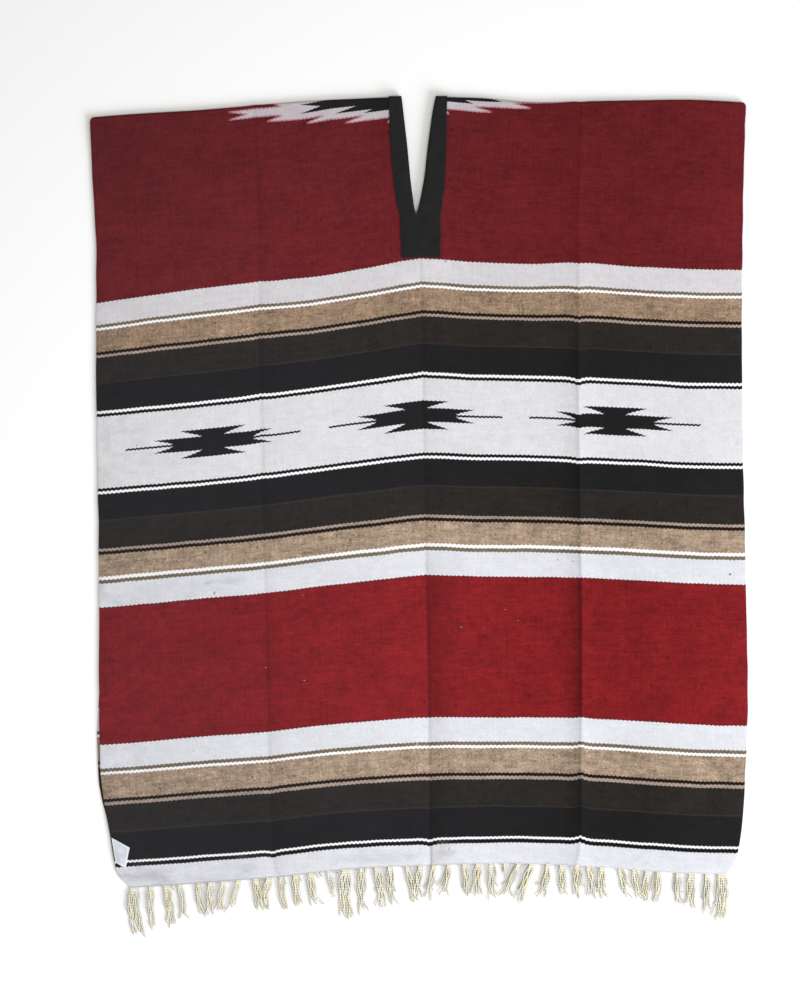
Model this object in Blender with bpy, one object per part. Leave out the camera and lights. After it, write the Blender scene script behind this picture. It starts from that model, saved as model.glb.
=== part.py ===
# Striped serape poncho, laid flat on a surface. One woven length is folded over at the
# shoulders and slit for the head. The slit is bound with a black band, the warp ends are
# knotted into fringes, and a small blank label sits at the left edge near the hem.
#
# Metres, +Z up. The cloth lies in the XY plane with its shoulder fold toward +Y. The origin
# is on the surface, under the middle of the poncho's footprint.
#
# The woven length is four solids, so that each stays on its own side of the neck: the front
# with the shoulder fold, and the back under it, each left and right of the slit and of the
# middle crease below it. The binding is a strip along each edge of the slit, and the two
# strips meet below the V.
#
# Two measures place every point of the cloth. "Across" runs from the neck slit to a
# selvedge, and is negative on the left. "Along" runs from the middle of the woven length
# down to the hem. Tables are in millimetres.

import math
import random

import bmesh
import bpy
from mathutils import Vector

MM = 0.001

# Woven cloth
HALF_WIDTH = 0.450          # neck slit to selvedge
HALF_LENGTH = 1.066         # middle of the woven length to a hem
WALL = 0.0020               # thickness of the cloth
GAP = 0.0003                # clearance between touching pieces
FOLD_RISE = 0.0025          # how far the cloth springs open at the shoulder fold
FOLD_REACH = 0.075          # how far down the front that opening dies away
FOLD_PRESS = 0.2            # share of the front's swell that the fold lets through
LIP = 0.014                 # cloth past the fold that belongs to the front

# Neck binding and label
BAND = 0.0012               # thickness of the binding
SLIT_END = 0.160            # fold to the point of the V
BLOCK_END = 0.222           # fold to the lower end of the binding
BAND_EASE = 0.018           # cloth beside the lower binding that rises over its edge
BLOCK_EASE = 0.040          # the same below the binding's lower end
LABEL = 0.0010              # thickness of the label

# Fringe
TASSELS = 40
STRANDS = 3                 # in each tassel
STRIP_DEPTH = 0.0035        # heading that the strands grow from
STRIP_THICK = 0.0016
STRAND_WIDE = 0.0022
STRAND_APART = 0.0010       # daylight between two strands at their roots
STRAND_RINGS = 3
STRAND_LENGTHS = (0.049, 0.057)
CORNER_LENGTH = 0.011       # extra length at the left corner
CORNER_TASSELS = 8          # tassels over which it dies away
TASSEL_STRAY = 0.0024       # how far a tassel sits from its even place
STRAND_SWAY = 0.0022
STRAND_TURN = 2.6           # radians of sway from root to tip
STRAND_TAPER = 0.35
STRAND_FAN = (0.3, 0.7)     # how far the outer strands spread, as a share of their offset
STRAND_REACH = (0.93, 1.0)  # length of a strand, as a share of its tassel's
BACK_LEVEL = 0.0009         # middle of the lower fringe's tips above the surface
FRONT_LEVEL = 0.0027        # the upper fringe comes to rest just above the lower one

# Place of the cloth's middle in the frame, so that the footprint is centred on the origin
PLAN_X = 0.0009
PLAN_Y = 0.5855


def table(columns, *rows):
    names = columns.split()
    return [dict(zip(names, row)) for row in rows]


# The weft lines sag towards the selvedges. Fold is the measure along the cloth where the
# shoulder fold lies. Chest to hem are the sag of the lines at the four LEVELS below.
# Back_short is how far the back hem stops above the front one.
WEFT = table(
    "across  fold  chest  waist  thigh   hem  back_short",
    (-450, -27.0,  60.7,  51.6,  42.4,  31.7,  54.0),
    (-375, -21.0,  49.3,  45.0,  35.6,  27.0,  42.0),
    (-300, -15.7,  39.6,  38.2,  28.3,  21.8,  32.0),
    (-225, -13.5,  31.2,  29.8,  22.8,  16.2,  27.0),
    (-150, -12.6,  24.3,  19.9,  13.8,   8.0,  24.0),
    (-75,   -4.0,  12.4,   9.7,   6.2,   2.6,  12.0),
    (0,      6.2,   0.0,   0.4,   0.0,   0.3,   4.5),
    (75,     4.0,   3.6,   2.6,   1.0,  -2.4,   4.0),
    (150,    6.8,   6.3,   3.6,   1.2,  -2.4,   4.0),
    (225,    7.2,   4.6,   6.8,   2.2,   0.8,   4.0),
    (300,    0.7,   9.7,   9.8,   6.1,   6.0,   4.5),
    (375,   -3.5,  13.1,  13.9,  10.2,  11.2,   6.0),
    (450,   -1.1,  14.2,  14.8,  12.6,  12.6,   6.0),
)
LEVELS = table(
    "name     along",
    ("chest",   230),
    ("waist",   445),
    ("thigh",   764),
    ("hem",    1066),
)

# Middle line and selvedges of the front, and how far the back lies inside them
SIDES = table(
    "along  middle    left   right  back_left  back_right",
    (-24,    -1.7,  -454.7,  450.6,   0.0,   0.0),
    (46,     -1.1,  -452.0,  449.2,   0.6,   0.8),
    (150,     0.0,  -446.4,  446.4,   3.0,   3.0),
    (330,     2.8,  -446.4,  445.0,   3.0,   3.0),
    (500,     5.5,  -443.7,  447.0,   3.0,   3.0),
    (640,     7.6,  -442.3,  450.0,   3.0,   4.0),
    (760,     9.6,  -442.3,  452.6,   1.0,   5.0),
    (850,    11.0,  -441.6,  452.8,  -3.5,   5.0),
    (925,    12.2,  -438.0,  450.0,  -3.5,   4.0),
    (985,    13.6,  -428.0,  446.6,   1.0,   3.0),
    (1030,   14.3,  -420.6,  440.6,   3.0,   3.0),
    (1052,   14.5,  -413.6,  434.0,   3.0,   3.0),
    (1066,   14.5,  -398.0,  425.0,   3.0,   3.0),
)

# Neck slit, spread open, and the width of the binding beside it. Below the point of the V
# the two edges of the slit are the same line.
NECK = table(
    "below  slit_left  slit_right  band_left  band_right",
    (0,        23.7,       24.0,      20.0,       18.5),
    (25,       21.0,       19.0,      22.5,       22.5),
    (70,       16.3,       12.5,      25.5,       27.5),
    (115,      12.5,        6.9,      25.0,       30.0),
    (145,       9.0,        0.8,      23.8,       31.0),
    (160,       4.8,       -4.8,      23.5,       32.5),
    (190,       3.6,       -3.6,      24.0,       31.5),
    (222,       2.0,       -2.0,      24.3,       29.8),
    (262,       0.6,       -0.6,      24.3,       29.8),
    (320,       0.0,        0.0,      24.3,       29.8),
)

# Height of the front above the back: a broad swell, then three storage creases, two of them
# pressed in and the right one raised
SWELL = table(
    "across  upper  lower",
    (-450,    0.0,   0.0),
    (-425,    0.7,   0.6),
    (-350,    1.6,   1.4),
    (-260,    2.2,   2.0),
    (-150,    2.6,   2.6),
    (-60,     3.8,   4.0),
    (0,       4.2,   4.4),
    (60,      3.8,   4.0),
    (140,     4.6,   4.4),
    (200,     4.2,   4.0),
    (260,     2.6,   2.6),
    (330,     1.6,   1.6),
    (400,     1.8,   1.4),
    (435,     0.6,   0.5),
    (450,     0.0,   0.0),
)
CREASES = table(
    "name            across  rise  left_run  right_run  below",
    ("left quarter",   -225, -1.6,      55,         25,     0),
    ("middle",            0, -3.0,      80,         45,   222),
    ("right quarter",   225,  3.4,      55,         35,     0),
)
CREASE_START = 80           # run over which a crease grows to its full height

# Corners of the label on the cloth
LABEL_CORNERS = table(
    "across  along",
    (-448.5,  994),
    (-425.0, 1010),
    (-436.0, 1039),
    (-448.5, 1030),
)

# Columns of the grid on each side of the slit. The first four follow the binding's edge.
BAND_COLUMNS = 3
OUTER_COLUMNS = (80, 125, 170, 200, 225, 250, 280, 330, 385, 425, 450)
ARC_DEGREES = (-90, -60, -30, 0, 30, 60, 90)
FOLD_ROWS = (10, 25)
NECK_ROWS = (45, 70, 100, 130, 160, 190, 222, 262)
HEM_ROWS = (955, 990, 1018, 1040)
FRONT_STEPS = 12            # even rows from the neck rows to the hem rows
BACK_STEPS = 6

COLOURS = table(
    "name          red    green  blue   rough",
    ("serape_wool", 0.195, 0.016, 0.019, 0.90),
    ("black_band",  0.021, 0.021, 0.021, 0.85),
    ("warp_cotton", 0.760, 0.680, 0.480, 0.90),
    ("label_tape",  0.760, 0.760, 0.740, 0.70),
)


def read(rows, key, name, at):
    # A smooth curve through one column of a table
    last = len(rows) - 1
    if at <= rows[0][key]:
        return rows[0][name]
    if at >= rows[last][key]:
        return rows[last][name]
    i = max(n for n in range(last) if rows[n][key] <= at)

    def slope(n):
        low, high = max(n - 1, 0), min(n + 1, last)
        return (rows[high][name] - rows[low][name]) / (rows[high][key] - rows[low][key])

    step = rows[i + 1][key] - rows[i][key]
    t = (at - rows[i][key]) / step
    start = (2 * t**3 - 3 * t**2 + 1) * rows[i][name] + (t**3 - 2 * t**2 + t) * step * slope(i)
    end = (3 * t**2 - 2 * t**3) * rows[i + 1][name] + (t**3 - t**2) * step * slope(i + 1)
    return start + end


def ease(t):
    t = min(max(t, 0.0), 1.0)
    return t * t * (3 - 2 * t)


def side_name(prefix, side):
    return prefix + ("_left" if side < 0 else "_right")


def band_width(side, below):
    return read(NECK, "below", side_name("band", side), below / MM) * MM


def across_at(side, column, below):
    # Column 0 is the slit's edge, BAND_COLUMNS - 1 the binding's outer edge
    edge = band_width(side, below)
    if column < BAND_COLUMNS:
        return edge * column / (BAND_COLUMNS - 1)
    if column == BAND_COLUMNS:
        return edge + BAND_EASE
    return OUTER_COLUMNS[column - BAND_COLUMNS - 1] * MM


def sag(across, along):
    levels = [
        {"along": level["along"], "sag": read(WEFT, "across", level["name"], across / MM)}
        for level in LEVELS
    ]
    return read(levels, "along", "sag", along / MM) * MM


def along_at(across, below, hem):
    # Distance below the fold is stretched a little, so that each column ends at the hem
    fold = read(WEFT, "across", "fold", across / MM) * MM
    middle_fold = read(WEFT, "across", "fold", 0) * MM
    return fold + below * (hem - fold) / (HALF_LENGTH - middle_fold)


def plan(side, across, below, layer):
    # Where a point of the cloth lies, seen from above
    signed = side * across
    hem = HALF_LENGTH
    if layer == "back":
        hem -= read(WEFT, "across", "back_short", signed / MM) * MM
    along = along_at(signed, below, hem)
    selvedge = read(SIDES, "along", "left" if side < 0 else "right", along / MM)
    if layer == "back":
        selvedge -= side * read(SIDES, "along", side_name("back", side), along / MM)
    middle = read(SIDES, "along", "middle", along / MM)
    spread = read(NECK, "below", side_name("slit", side), below / MM) * MM + GAP / 2
    spread *= (1 - across / HALF_WIDTH) ** 3
    x = middle * MM + (selvedge - middle) * MM * across / HALF_WIDTH + side * spread
    return x + PLAN_X, PLAN_Y - along - sag(signed, along)


def lower_band_rise(side, across, below):
    # The cloth is lifted where it lies on the binding of the back
    beside = ease(1 - (across - band_width(side, below)) / BAND_EASE)
    beyond = ease(1 - (below - BLOCK_END) / BLOCK_EASE)
    return (BAND + GAP) * beside * beyond


def relief(signed, below):
    # Swell and creases of the front, flattened where the fold holds the cloth
    lower = ease(below / HALF_LENGTH)
    swell = read(SWELL, "across", "upper", signed / MM) * (1 - lower)
    swell += read(SWELL, "across", "lower", signed / MM) * lower
    for crease in CREASES:
        away = signed / MM - crease["across"]
        run = crease["left_run"] if away < 0 else crease["right_run"]
        grown = ease((below / MM - crease["below"]) / CREASE_START)
        swell += crease["rise"] * grown * max(0.0, 1 - abs(away) / run) ** 2
    return swell * MM * (FOLD_PRESS + (1 - FOLD_PRESS) * ease(below / FOLD_REACH))


def back_height(side, across, below):
    return WALL / 2 + lower_band_rise(side, across, below)


def front_height(side, across, below):
    resting = back_height(side, across, below) + WALL + GAP
    spring = FOLD_RISE * (1 - ease(below / FOLD_REACH))
    return resting + spring + relief(side * across, below)


def cloth_point(side, column, row, layer):
    # Middle of the wall. A row is a distance under the lip, an angle round the fold, or a
    # distance below the fold.
    kind, value = row
    if kind == "arc":
        across = across_at(side, column, 0)
        low = back_height(side, across, 0)
        radius = (front_height(side, across, 0) - low) / 2
        angle = math.radians(value)
        below = WALL / 2 + radius - radius * math.cos(angle)
        x, y = plan(side, across, below, "front")
        return Vector((x, y, low + radius + radius * math.sin(angle)))
    across = across_at(side, column, value)
    under = kind == "lip" or layer == "back"
    x, y = plan(side, across, value, "back" if under else "front")
    height = back_height if under else front_height
    return Vector((x, y, height(side, across, value)))


def front_rows():
    rows = [("lip", LIP), ("lip", LIP / 2)]
    rows += [("arc", angle) for angle in ARC_DEGREES]
    rows += [("down", below * MM) for below in FOLD_ROWS + NECK_ROWS]
    return rows + hem_rows(FRONT_STEPS)


def back_rows():
    rows = [("down", LIP + GAP)]
    rows += [("down", below * MM) for below in NECK_ROWS]
    return rows + hem_rows(BACK_STEPS)


def hem_rows(steps):
    start, turn = NECK_ROWS[-1], HEM_ROWS[0]
    rows = [start + (turn - start) * (n + 1) / steps for n in range(steps)]
    rows += HEM_ROWS[1:]
    rows += [HALF_LENGTH / MM - read(WEFT, "across", "fold", 0)]
    return [("down", below * MM) for below in rows]


def meeting(row):
    # Below the point of the V the two sides meet along the middle
    return row[0] == "down" and row[1] > SLIT_END - MM


def cloth_grid(rows, layer, outward):
    # Every grid point as {(side, column, row number): (middle of wall, outward direction)}
    columns = BAND_COLUMNS + 1 + len(OUTER_COLUMNS)
    points = {}
    for side in (-1, 1):
        for n, row in enumerate(rows):
            for column in range(columns):
                points[side, column, n] = cloth_point(side, column, row, layer)
    grid = {}
    for (side, column, n), place in points.items():
        inner = points[side, max(column - 1, 0), n]
        if column == 0 and meeting(rows[n]):
            inner = points[-side, 1, n]
        wide = (points[side, min(column + 1, columns - 1), n] - inner) * side
        down = points[side, column, min(n + 1, len(rows) - 1)] - points[side, column, max(n - 1, 0)]
        grid[side, column, n] = (place, down.cross(wide).normalized() * outward)
    return grid


def cell(side, column, n):
    # Corners of one cell, wound so that its face looks outward
    corners = [
        (side, column, n),
        (side, column, n + 1),
        (side, column + 1, n + 1),
        (side, column + 1, n),
    ]
    return corners if side > 0 else corners[::-1]


def side_cells(side, columns, rows):
    return [cell(side, column, n) for n in range(rows) for column in range(columns)]


def material(name):
    row = next(entry for entry in COLOURS if entry["name"] == name)
    made = bpy.data.materials.new(name)
    made.use_nodes = True
    shader = made.node_tree.nodes["Principled BSDF"]
    shader.inputs["Base Color"].default_value = (row["red"], row["green"], row["blue"], 1)
    shader.inputs["Roughness"].default_value = row["rough"]
    shader.inputs["Metallic"].default_value = 0.0
    return made


def add_object(name, bm, material_name, collection):
    bmesh.ops.recalc_face_normals(bm, faces=bm.faces)
    mesh = bpy.data.meshes.new(name)
    bm.to_mesh(mesh)
    bm.free()
    mesh.materials.append(bpy.data.materials.get(material_name) or material(material_name))
    mesh.shade_smooth()
    mesh.set_sharp_from_angle(angle=math.radians(40))
    made = bpy.data.objects.new(name, mesh)
    collection.objects.link(made)
    return made


def wall(name, grid, cells, inside, outside, material_name, collection):
    # Two skins at the given distances from the middle of the wall, closed round the edge
    bm = bmesh.new()
    skins = {}
    for key in {corner for corners in cells for corner in corners}:
        place, normal = grid[key]
        skins[key] = (bm.verts.new(place + normal * inside), bm.verts.new(place + normal * outside))
    edges = {}
    for corners in cells:
        bm.faces.new([skins[corner][1] for corner in corners])
        bm.faces.new([skins[corner][0] for corner in reversed(corners)])
        for n, start in enumerate(corners):
            end = corners[(n + 1) % len(corners)]
            edges[start, end] = True
    for start, end in edges:
        if (end, start) not in edges:
            bm.faces.new([skins[end][1], skins[start][1], skins[start][0], skins[end][0]])
    return add_object(name, bm, material_name, collection)


def make_label(collection):
    # A blank tape lying on the front's outer face, bent with it
    steps = 2
    grid = {}
    corners = [Vector((row["across"], row["along"])) * MM for row in LABEL_CORNERS]

    def lie(across, along):
        middle_fold = read(WEFT, "across", "fold", 0) * MM
        fold = read(WEFT, "across", "fold", across / MM) * MM
        below = (along - fold) * (HALF_LENGTH - middle_fold) / (HALF_LENGTH - fold)
        x, y = plan(-1, -across, below, "front")
        return Vector((x, y, front_height(-1, -across, below)))

    for i in range(steps + 1):
        for j in range(steps + 1):
            top = corners[0].lerp(corners[1], i / steps)
            bottom = corners[3].lerp(corners[2], i / steps)
            place = top.lerp(bottom, j / steps)
            grid[i, j] = (lie(place.x, place.y), Vector((0, 0, 1)))
    cells = [
        [(i, j), (i, j + 1), (i + 1, j + 1), (i + 1, j)]
        for i in range(steps)
        for j in range(steps)
    ]
    lowest = WALL / 2 + 2 * GAP
    return wall("label", grid, cells, lowest, lowest + LABEL, "label_tape", collection)


def hem_edge(grid, rows, side_columns):
    # Middle of the wall along the last row, from left to right
    n = len(rows) - 1
    keys = [(-1, column, n) for column in range(side_columns - 1, -1, -1)]
    keys += [(1, column, n) for column in range(side_columns)]
    return [grid[key][0] for key in keys]


def along_edge(edge, x):
    # Point of a chain at a given x, on its straight links
    for start, end in zip(edge, edge[1:]):
        if x <= end.x:
            return start.lerp(end, (x - start.x) / (end.x - start.x))
    return edge[-1].copy()


def strand_rings(root, length, fan, sway, turn, level):
    # Rings of one strand after its root: it fans out, sways and settles to its level
    rings = []
    for n in range(1, STRAND_RINGS + 1):
        t = n / STRAND_RINGS
        x = root.x + fan * t + sway * (math.sin(turn + STRAND_TURN * t) - math.sin(turn))
        y = root.y - length * t
        z = root.z + (level - root.z) * ease(2 * t)
        taper = 1 - STRAND_TAPER * t
        rings.append((Vector((x, y, z)), STRAND_WIDE / 2 * taper, STRIP_THICK / 2 * taper))
    return rings


def ring_verts(bm, centre, wide, high):
    offsets = ((-wide, -high), (wide, -high), (wide, high), (-wide, high))
    return [bm.verts.new(centre + Vector((x, 0, z))) for x, z in offsets]


def make_fringe(name, edge, level, seed, collection):
    # A narrow heading along the hem, cut in one stretch for each tassel. Strands grow from
    # square patches of its outer face.
    chance = random.Random(seed)
    bm = bmesh.new()
    start = edge[0].x + GAP
    pitch = (edge[-1].x - GAP - start) / TASSELS
    half = STRIP_THICK / 2

    def heading(x, stretch):
        # Heights run straight over one stretch, so that its top and bottom are flat
        left, right = stretch
        height = along_edge(edge, left).lerp(along_edge(edge, right), (x - left) / (right - left)).z
        return Vector((x, along_edge(edge, x).y - GAP, height))

    def column(place, depth):
        ends = (place + Vector((0, -depth, -half)), place + Vector((0, -depth, half)))
        return [bm.verts.new(end) for end in ends]

    first = heading(start, (start, start + pitch))
    previous = (column(first, STRIP_DEPTH), column(first, 0))
    bm.faces.new([previous[0][0], previous[0][1], previous[1][1], previous[1][0]])
    for n in range(TASSELS):
        stretch = (start + n * pitch, start + (n + 1) * pitch)
        middle = sum(stretch) / 2 + chance.uniform(-TASSEL_STRAY, TASSEL_STRAY)
        length = chance.uniform(*STRAND_LENGTHS)
        length += CORNER_LENGTH * max(0.0, 1 - n / CORNER_TASSELS)
        sway = chance.uniform(-STRAND_SWAY, STRAND_SWAY)
        turn = chance.uniform(0, math.tau)
        outer = [previous[0]]
        for s in range(STRANDS):
            offset = (s - (STRANDS - 1) / 2) * (STRAND_WIDE + STRAND_APART)
            sides = (middle + offset - STRAND_WIDE / 2, middle + offset + STRAND_WIDE / 2)
            for x in sides:
                outer.append(column(heading(x, stretch), STRIP_DEPTH))
            a, b = outer[-2], outer[-1]
            root = (a[0].co + a[1].co + b[0].co + b[1].co) / 4
            ring = [a[0], b[0], b[1], a[1]]
            fan = offset * chance.uniform(*STRAND_FAN)
            reach = length * chance.uniform(*STRAND_REACH)
            for centre, wide, high in strand_rings(root, reach, fan, sway, turn, level):
                following = ring_verts(bm, centre, wide, high)
                for k in range(4):
                    bm.faces.new([ring[k], ring[(k + 1) % 4], following[(k + 1) % 4], following[k]])
                ring = following
            bm.faces.new(ring)
        place = heading(stretch[1], stretch)
        following = (column(place, STRIP_DEPTH), column(place, 0))
        outer.append(following[0])
        for k in range(0, len(outer), 2):
            bm.faces.new([outer[k][0], outer[k + 1][0], outer[k + 1][1], outer[k][1]])
        bm.faces.new([pair[1] for pair in outer] + [following[1][1], previous[1][1]])
        bm.faces.new([pair[0] for pair in outer] + [following[1][0], previous[1][0]])
        bm.faces.new([previous[1][0], previous[1][1], following[1][1], following[1][0]])
        previous = following
    bm.faces.new([previous[0][0], previous[0][1], previous[1][1], previous[1][0]])
    return add_object(name, bm, "warp_cotton", collection)


def build():
    for old in list(bpy.data.objects):
        bpy.data.objects.remove(old, do_unlink=True)
    poncho = bpy.data.collections.new("poncho")
    bpy.context.scene.collection.children.link(poncho)

    columns = BAND_COLUMNS + 1 + len(OUTER_COLUMNS)
    half = WALL / 2
    over = half + GAP
    layers = (
        ("front", front_rows(), 1, FRONT_LEVEL, 5),
        ("back", back_rows(), -1, BACK_LEVEL, 8),
    )
    for layer, rows, outward, level, seed in layers:
        grid = cloth_grid(rows, layer, outward)
        block = rows.index(("down", BLOCK_END))
        for side, word in ((-1, "left"), (1, "right")):
            cells = side_cells(side, columns - 1, len(rows) - 1)
            wall(f"{layer}_{word}", grid, cells, -half, half, "serape_wool", poncho)
            cells = side_cells(side, BAND_COLUMNS - 1, block)
            name = f"{layer}_band_{word}"
            wall(name, grid, cells, over, over + BAND, "black_band", poncho)
        make_fringe(f"{layer}_fringe", hem_edge(grid, rows, columns), level, seed, poncho)
    make_label(poncho)


build()
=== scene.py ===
# Striped serape poncho laid flat: its finish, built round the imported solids
import math
import random
from functools import partial

import bpy
import numpy as np
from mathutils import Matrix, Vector


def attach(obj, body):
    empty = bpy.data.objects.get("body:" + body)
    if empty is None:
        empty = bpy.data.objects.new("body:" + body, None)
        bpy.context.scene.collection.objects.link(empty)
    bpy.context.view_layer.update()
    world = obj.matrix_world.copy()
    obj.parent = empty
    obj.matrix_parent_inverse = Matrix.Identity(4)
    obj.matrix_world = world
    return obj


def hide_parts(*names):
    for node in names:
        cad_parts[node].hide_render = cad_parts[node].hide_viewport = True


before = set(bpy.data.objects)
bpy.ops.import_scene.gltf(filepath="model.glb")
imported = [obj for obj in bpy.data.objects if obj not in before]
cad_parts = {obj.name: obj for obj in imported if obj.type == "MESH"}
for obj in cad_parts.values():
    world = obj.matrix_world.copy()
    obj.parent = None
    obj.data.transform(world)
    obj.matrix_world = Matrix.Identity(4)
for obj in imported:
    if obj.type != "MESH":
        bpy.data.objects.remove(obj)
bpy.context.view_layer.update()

mm = 0.001
body = "root"

# Small helpers


def linearColour(hexColour):
    # sRGB hex to the linear colour that a shader takes
    parts = [int(hexColour[n:n + 2], 16) / 255 for n in (1, 3, 5)]
    return [c / 12.92 if c <= 0.04045 else ((c + 0.055) / 1.055) ** 2.4 for c in parts] + [1.0]


def addNode(tree, kind, settings=None, *inputs):
    # A word in place of settings is the operation. Inputs fill the sockets in order, or else one
    # dictionary names them, and an input that is a node stands for its first output.
    node = tree.nodes.new(kind if "Node" in kind else "ShaderNode" + kind)
    if isinstance(settings, str):
        settings = {"operation": settings}
    for name, value in (settings or {}).items():
        setattr(node, name, value)
    if not (inputs and isinstance(inputs[0], dict)):
        inputs = [dict(enumerate(inputs))]
    for key, value in inputs[0].items():
        if isinstance(value, bpy.types.Node):
            value = value.outputs[0]
        if isinstance(value, bpy.types.NodeSocket):
            tree.links.new(value, node.inputs[key])
        else:
            node.inputs[key].default_value = value
    return node


# Settings that many nodes share
flat = {"noise_dimensions": "2D"}
smooth = {"interpolation_type": "SMOOTHSTEP"}
colours = {"data_type": "RGBA"}


def newMaterial(name):
    # The material, and the function that adds nodes to it
    made = bpy.data.materials.new(name)
    made.use_nodes = True
    made.node_tree.nodes.clear()
    return made, partial(addNode, made.node_tree)


def finishLook(add, colour, height, bumps, shine):
    # The bump, shader and output in which each fabric and yarn ends
    bump = add("Bump", None, {"Strength": bumps[0], "Distance": bumps[1], "Height": height})
    shader = add("BsdfPrincipled", None, {"Base Color": colour, "Normal": bump, **shine})
    add("OutputMaterial", None, shader)


def table(columns, *rows):
    # An array for each column, of floats or of words
    made = {name: np.array([row[n] for row in rows]) for n, name in enumerate(columns.split())}
    return {name: cells if cells.dtype.kind == "U" else cells.astype(float)
            for name, cells in made.items()}


def smoothThrough(keys, values, at):
    # Smooth curve through values at keys; values may hold one row for each key and point
    at = np.clip(at, keys[0], keys[-1])
    values = np.asarray(values, float)
    if values.ndim == 1:
        values = values.reshape((-1,) + (1,) * np.ndim(at)) + np.zeros(np.shape(at))
    last = len(keys) - 1
    i = np.clip(np.searchsorted(keys, at, side="right") - 1, 0, last - 1)
    low = np.maximum(np.arange(last + 1) - 1, 0)
    high = np.minimum(np.arange(last + 1) + 1, last)
    gaps = (keys[high] - keys[low]).reshape((-1,) + (1,) * (values.ndim - 1))
    slopes = (values[high] - values[low]) / gaps
    pick = lambda rows, n: np.take_along_axis(rows, n[None], 0)[0]
    step = keys[i + 1] - keys[i]
    t = (at - keys[i]) / step
    start = (2 * t**3 - 3 * t**2 + 1) * pick(values, i) + (t**3 - 2 * t**2 + t) * step * pick(slopes, i)
    end = (3 * t**2 - 2 * t**3) * pick(values, i + 1) + (t**3 - t**2) * step * pick(slopes, i + 1)
    return start + end


def ease(t):
    t = np.clip(t, 0.0, 1.0)
    return t * t * (3 - 2 * t)


def addObject(name, data):
    made = bpy.data.objects.new(name, data)
    bpy.context.scene.collection.objects.link(made)
    return made


def makeObject(name, mesh, material):
    mesh.materials.clear()
    mesh.materials.append(material)
    return addObject(name, mesh)


def withModifiersApplied(obj):
    # The evaluated object's mesh takes the place of the object and its modifiers
    graph = bpy.context.evaluated_depsgraph_get()
    mesh = bpy.data.meshes.new_from_object(obj.evaluated_get(graph))
    name = obj.name
    bpy.data.objects.remove(obj)
    mesh.name = name
    return addObject(name, mesh)


# Form of the cloth, the same measures as the solids: millimetres in the tables. "Across" runs
# from the neck slit to a selvedge, negative on the left. "Along" runs from mid-length to a hem.
form = {
    "halfWidth": 0.450,
    "halfLength": 1.066,
    "wall": 0.0020,
    "gap": 0.0003,
    "foldRise": 0.0025,       # the cloth springs open at the shoulder fold
    "foldReach": 0.075,
    "foldPress": 0.2,
    "band": 0.0012,           # thickness of the neck binding
    "slitEnd": 0.160,
    "blockEnd": 0.222,
    "bandEase": 0.018,
    "blockEase": 0.040,
    "frameX": 0.0009,         # place of the cloth's middle in the frame
    "frameY": 0.5855,
    "creaseStart": 80,
    "tugRun": 18,
    "cornerRound": 0.006,     # at the ends of the shoulder fold
    "cornerReach": 0.030,
    "ripple": 0.00045,        # low unevenness of the lie, over the solids' form
    "rippleSeed": 3,
    "rippleLengths": (0.19, 0.13, 0.11, 0.083, 0.071, 0.057),
    "nearFold": 0.010,        # rows lie closer this near the fold, at these shares of it
    "closeRows": (0.65, 0.4),
}
weft = table(
    "across  fold  chest  waist  thigh   hem  backShort",
    (-450, -27.0,  60.7,  51.6,  42.4,  31.7,  54.0),
    (-375, -21.0,  49.3,  45.0,  35.6,  27.0,  42.0),
    (-300, -15.7,  39.6,  38.2,  28.3,  21.8,  32.0),
    (-225, -13.5,  31.2,  29.8,  22.8,  16.2,  27.0),
    (-150, -12.6,  24.3,  19.9,  13.8,   8.0,  24.0),
    (-75,   -4.0,  12.4,   9.7,   6.2,   2.6,  12.0),
    (0,      6.2,   0.0,   0.4,   0.0,   0.3,   4.5),
    (75,     4.0,   3.6,   2.6,   1.0,  -2.4,   4.0),
    (150,    6.8,   6.3,   3.6,   1.2,  -2.4,   4.0),
    (225,    7.2,   4.6,   6.8,   2.2,   0.8,   4.0),
    (300,    0.7,   9.7,   9.8,   6.1,   6.0,   4.5),
    (375,   -3.5,  13.1,  13.9,  10.2,  11.2,   6.0),
    (450,   -1.1,  14.2,  14.8,  12.6,  12.6,   6.0),
)
weftLevels = table("name along", ("chest", 230), ("waist", 445), ("thigh", 764), ("hem", 1066))
sides = table(
    "along  middle    left   right  backLeft  backRight",
    (-24,    -1.7,  -454.7,  450.6,   0.0,   0.0),
    (46,     -1.1,  -452.0,  449.2,   0.6,   0.8),
    (150,     0.0,  -446.4,  446.4,   3.0,   3.0),
    (330,     2.8,  -446.4,  445.0,   3.0,   3.0),
    (500,     5.5,  -443.7,  447.0,   3.0,   3.0),
    (640,     7.6,  -442.3,  450.0,   3.0,   4.0),
    (760,     9.6,  -442.3,  452.6,   1.0,   5.0),
    (850,    11.0,  -441.6,  452.8,  -3.5,   5.0),
    (925,    12.2,  -438.0,  450.0,  -3.5,   4.0),
    (985,    13.6,  -428.0,  446.6,   1.0,   3.0),
    (1030,   14.3,  -420.6,  440.6,   3.0,   3.0),
    (1052,   14.5,  -413.6,  434.0,   3.0,   3.0),
    (1066,   14.5,  -398.0,  425.0,   3.0,   3.0),
)
neck = table(
    "below  slitLeft  slitRight  bandLeft  bandRight",
    (0,        23.7,       24.0,      20.0,       18.5),
    (25,       21.0,       19.0,      22.5,       22.5),
    (70,       16.3,       12.5,      25.5,       27.5),
    (115,      12.5,        6.9,      25.0,       30.0),
    (145,       9.0,        0.8,      23.8,       31.0),
    (155.5,     7.5,       -2.1,      23.6,       32.2),
    (158.6,     6.4,       -3.2,      23.5,       32.4),
    (160,       4.8,       -4.8,      23.5,       32.5),
    (190,       3.6,       -3.6,      24.0,       31.5),
    (222,       2.0,       -2.0,      24.3,       29.8),
    (262,       0.6,       -0.6,      24.3,       29.8),
    (320,       0.0,        0.0,      24.3,       29.8),
)
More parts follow.
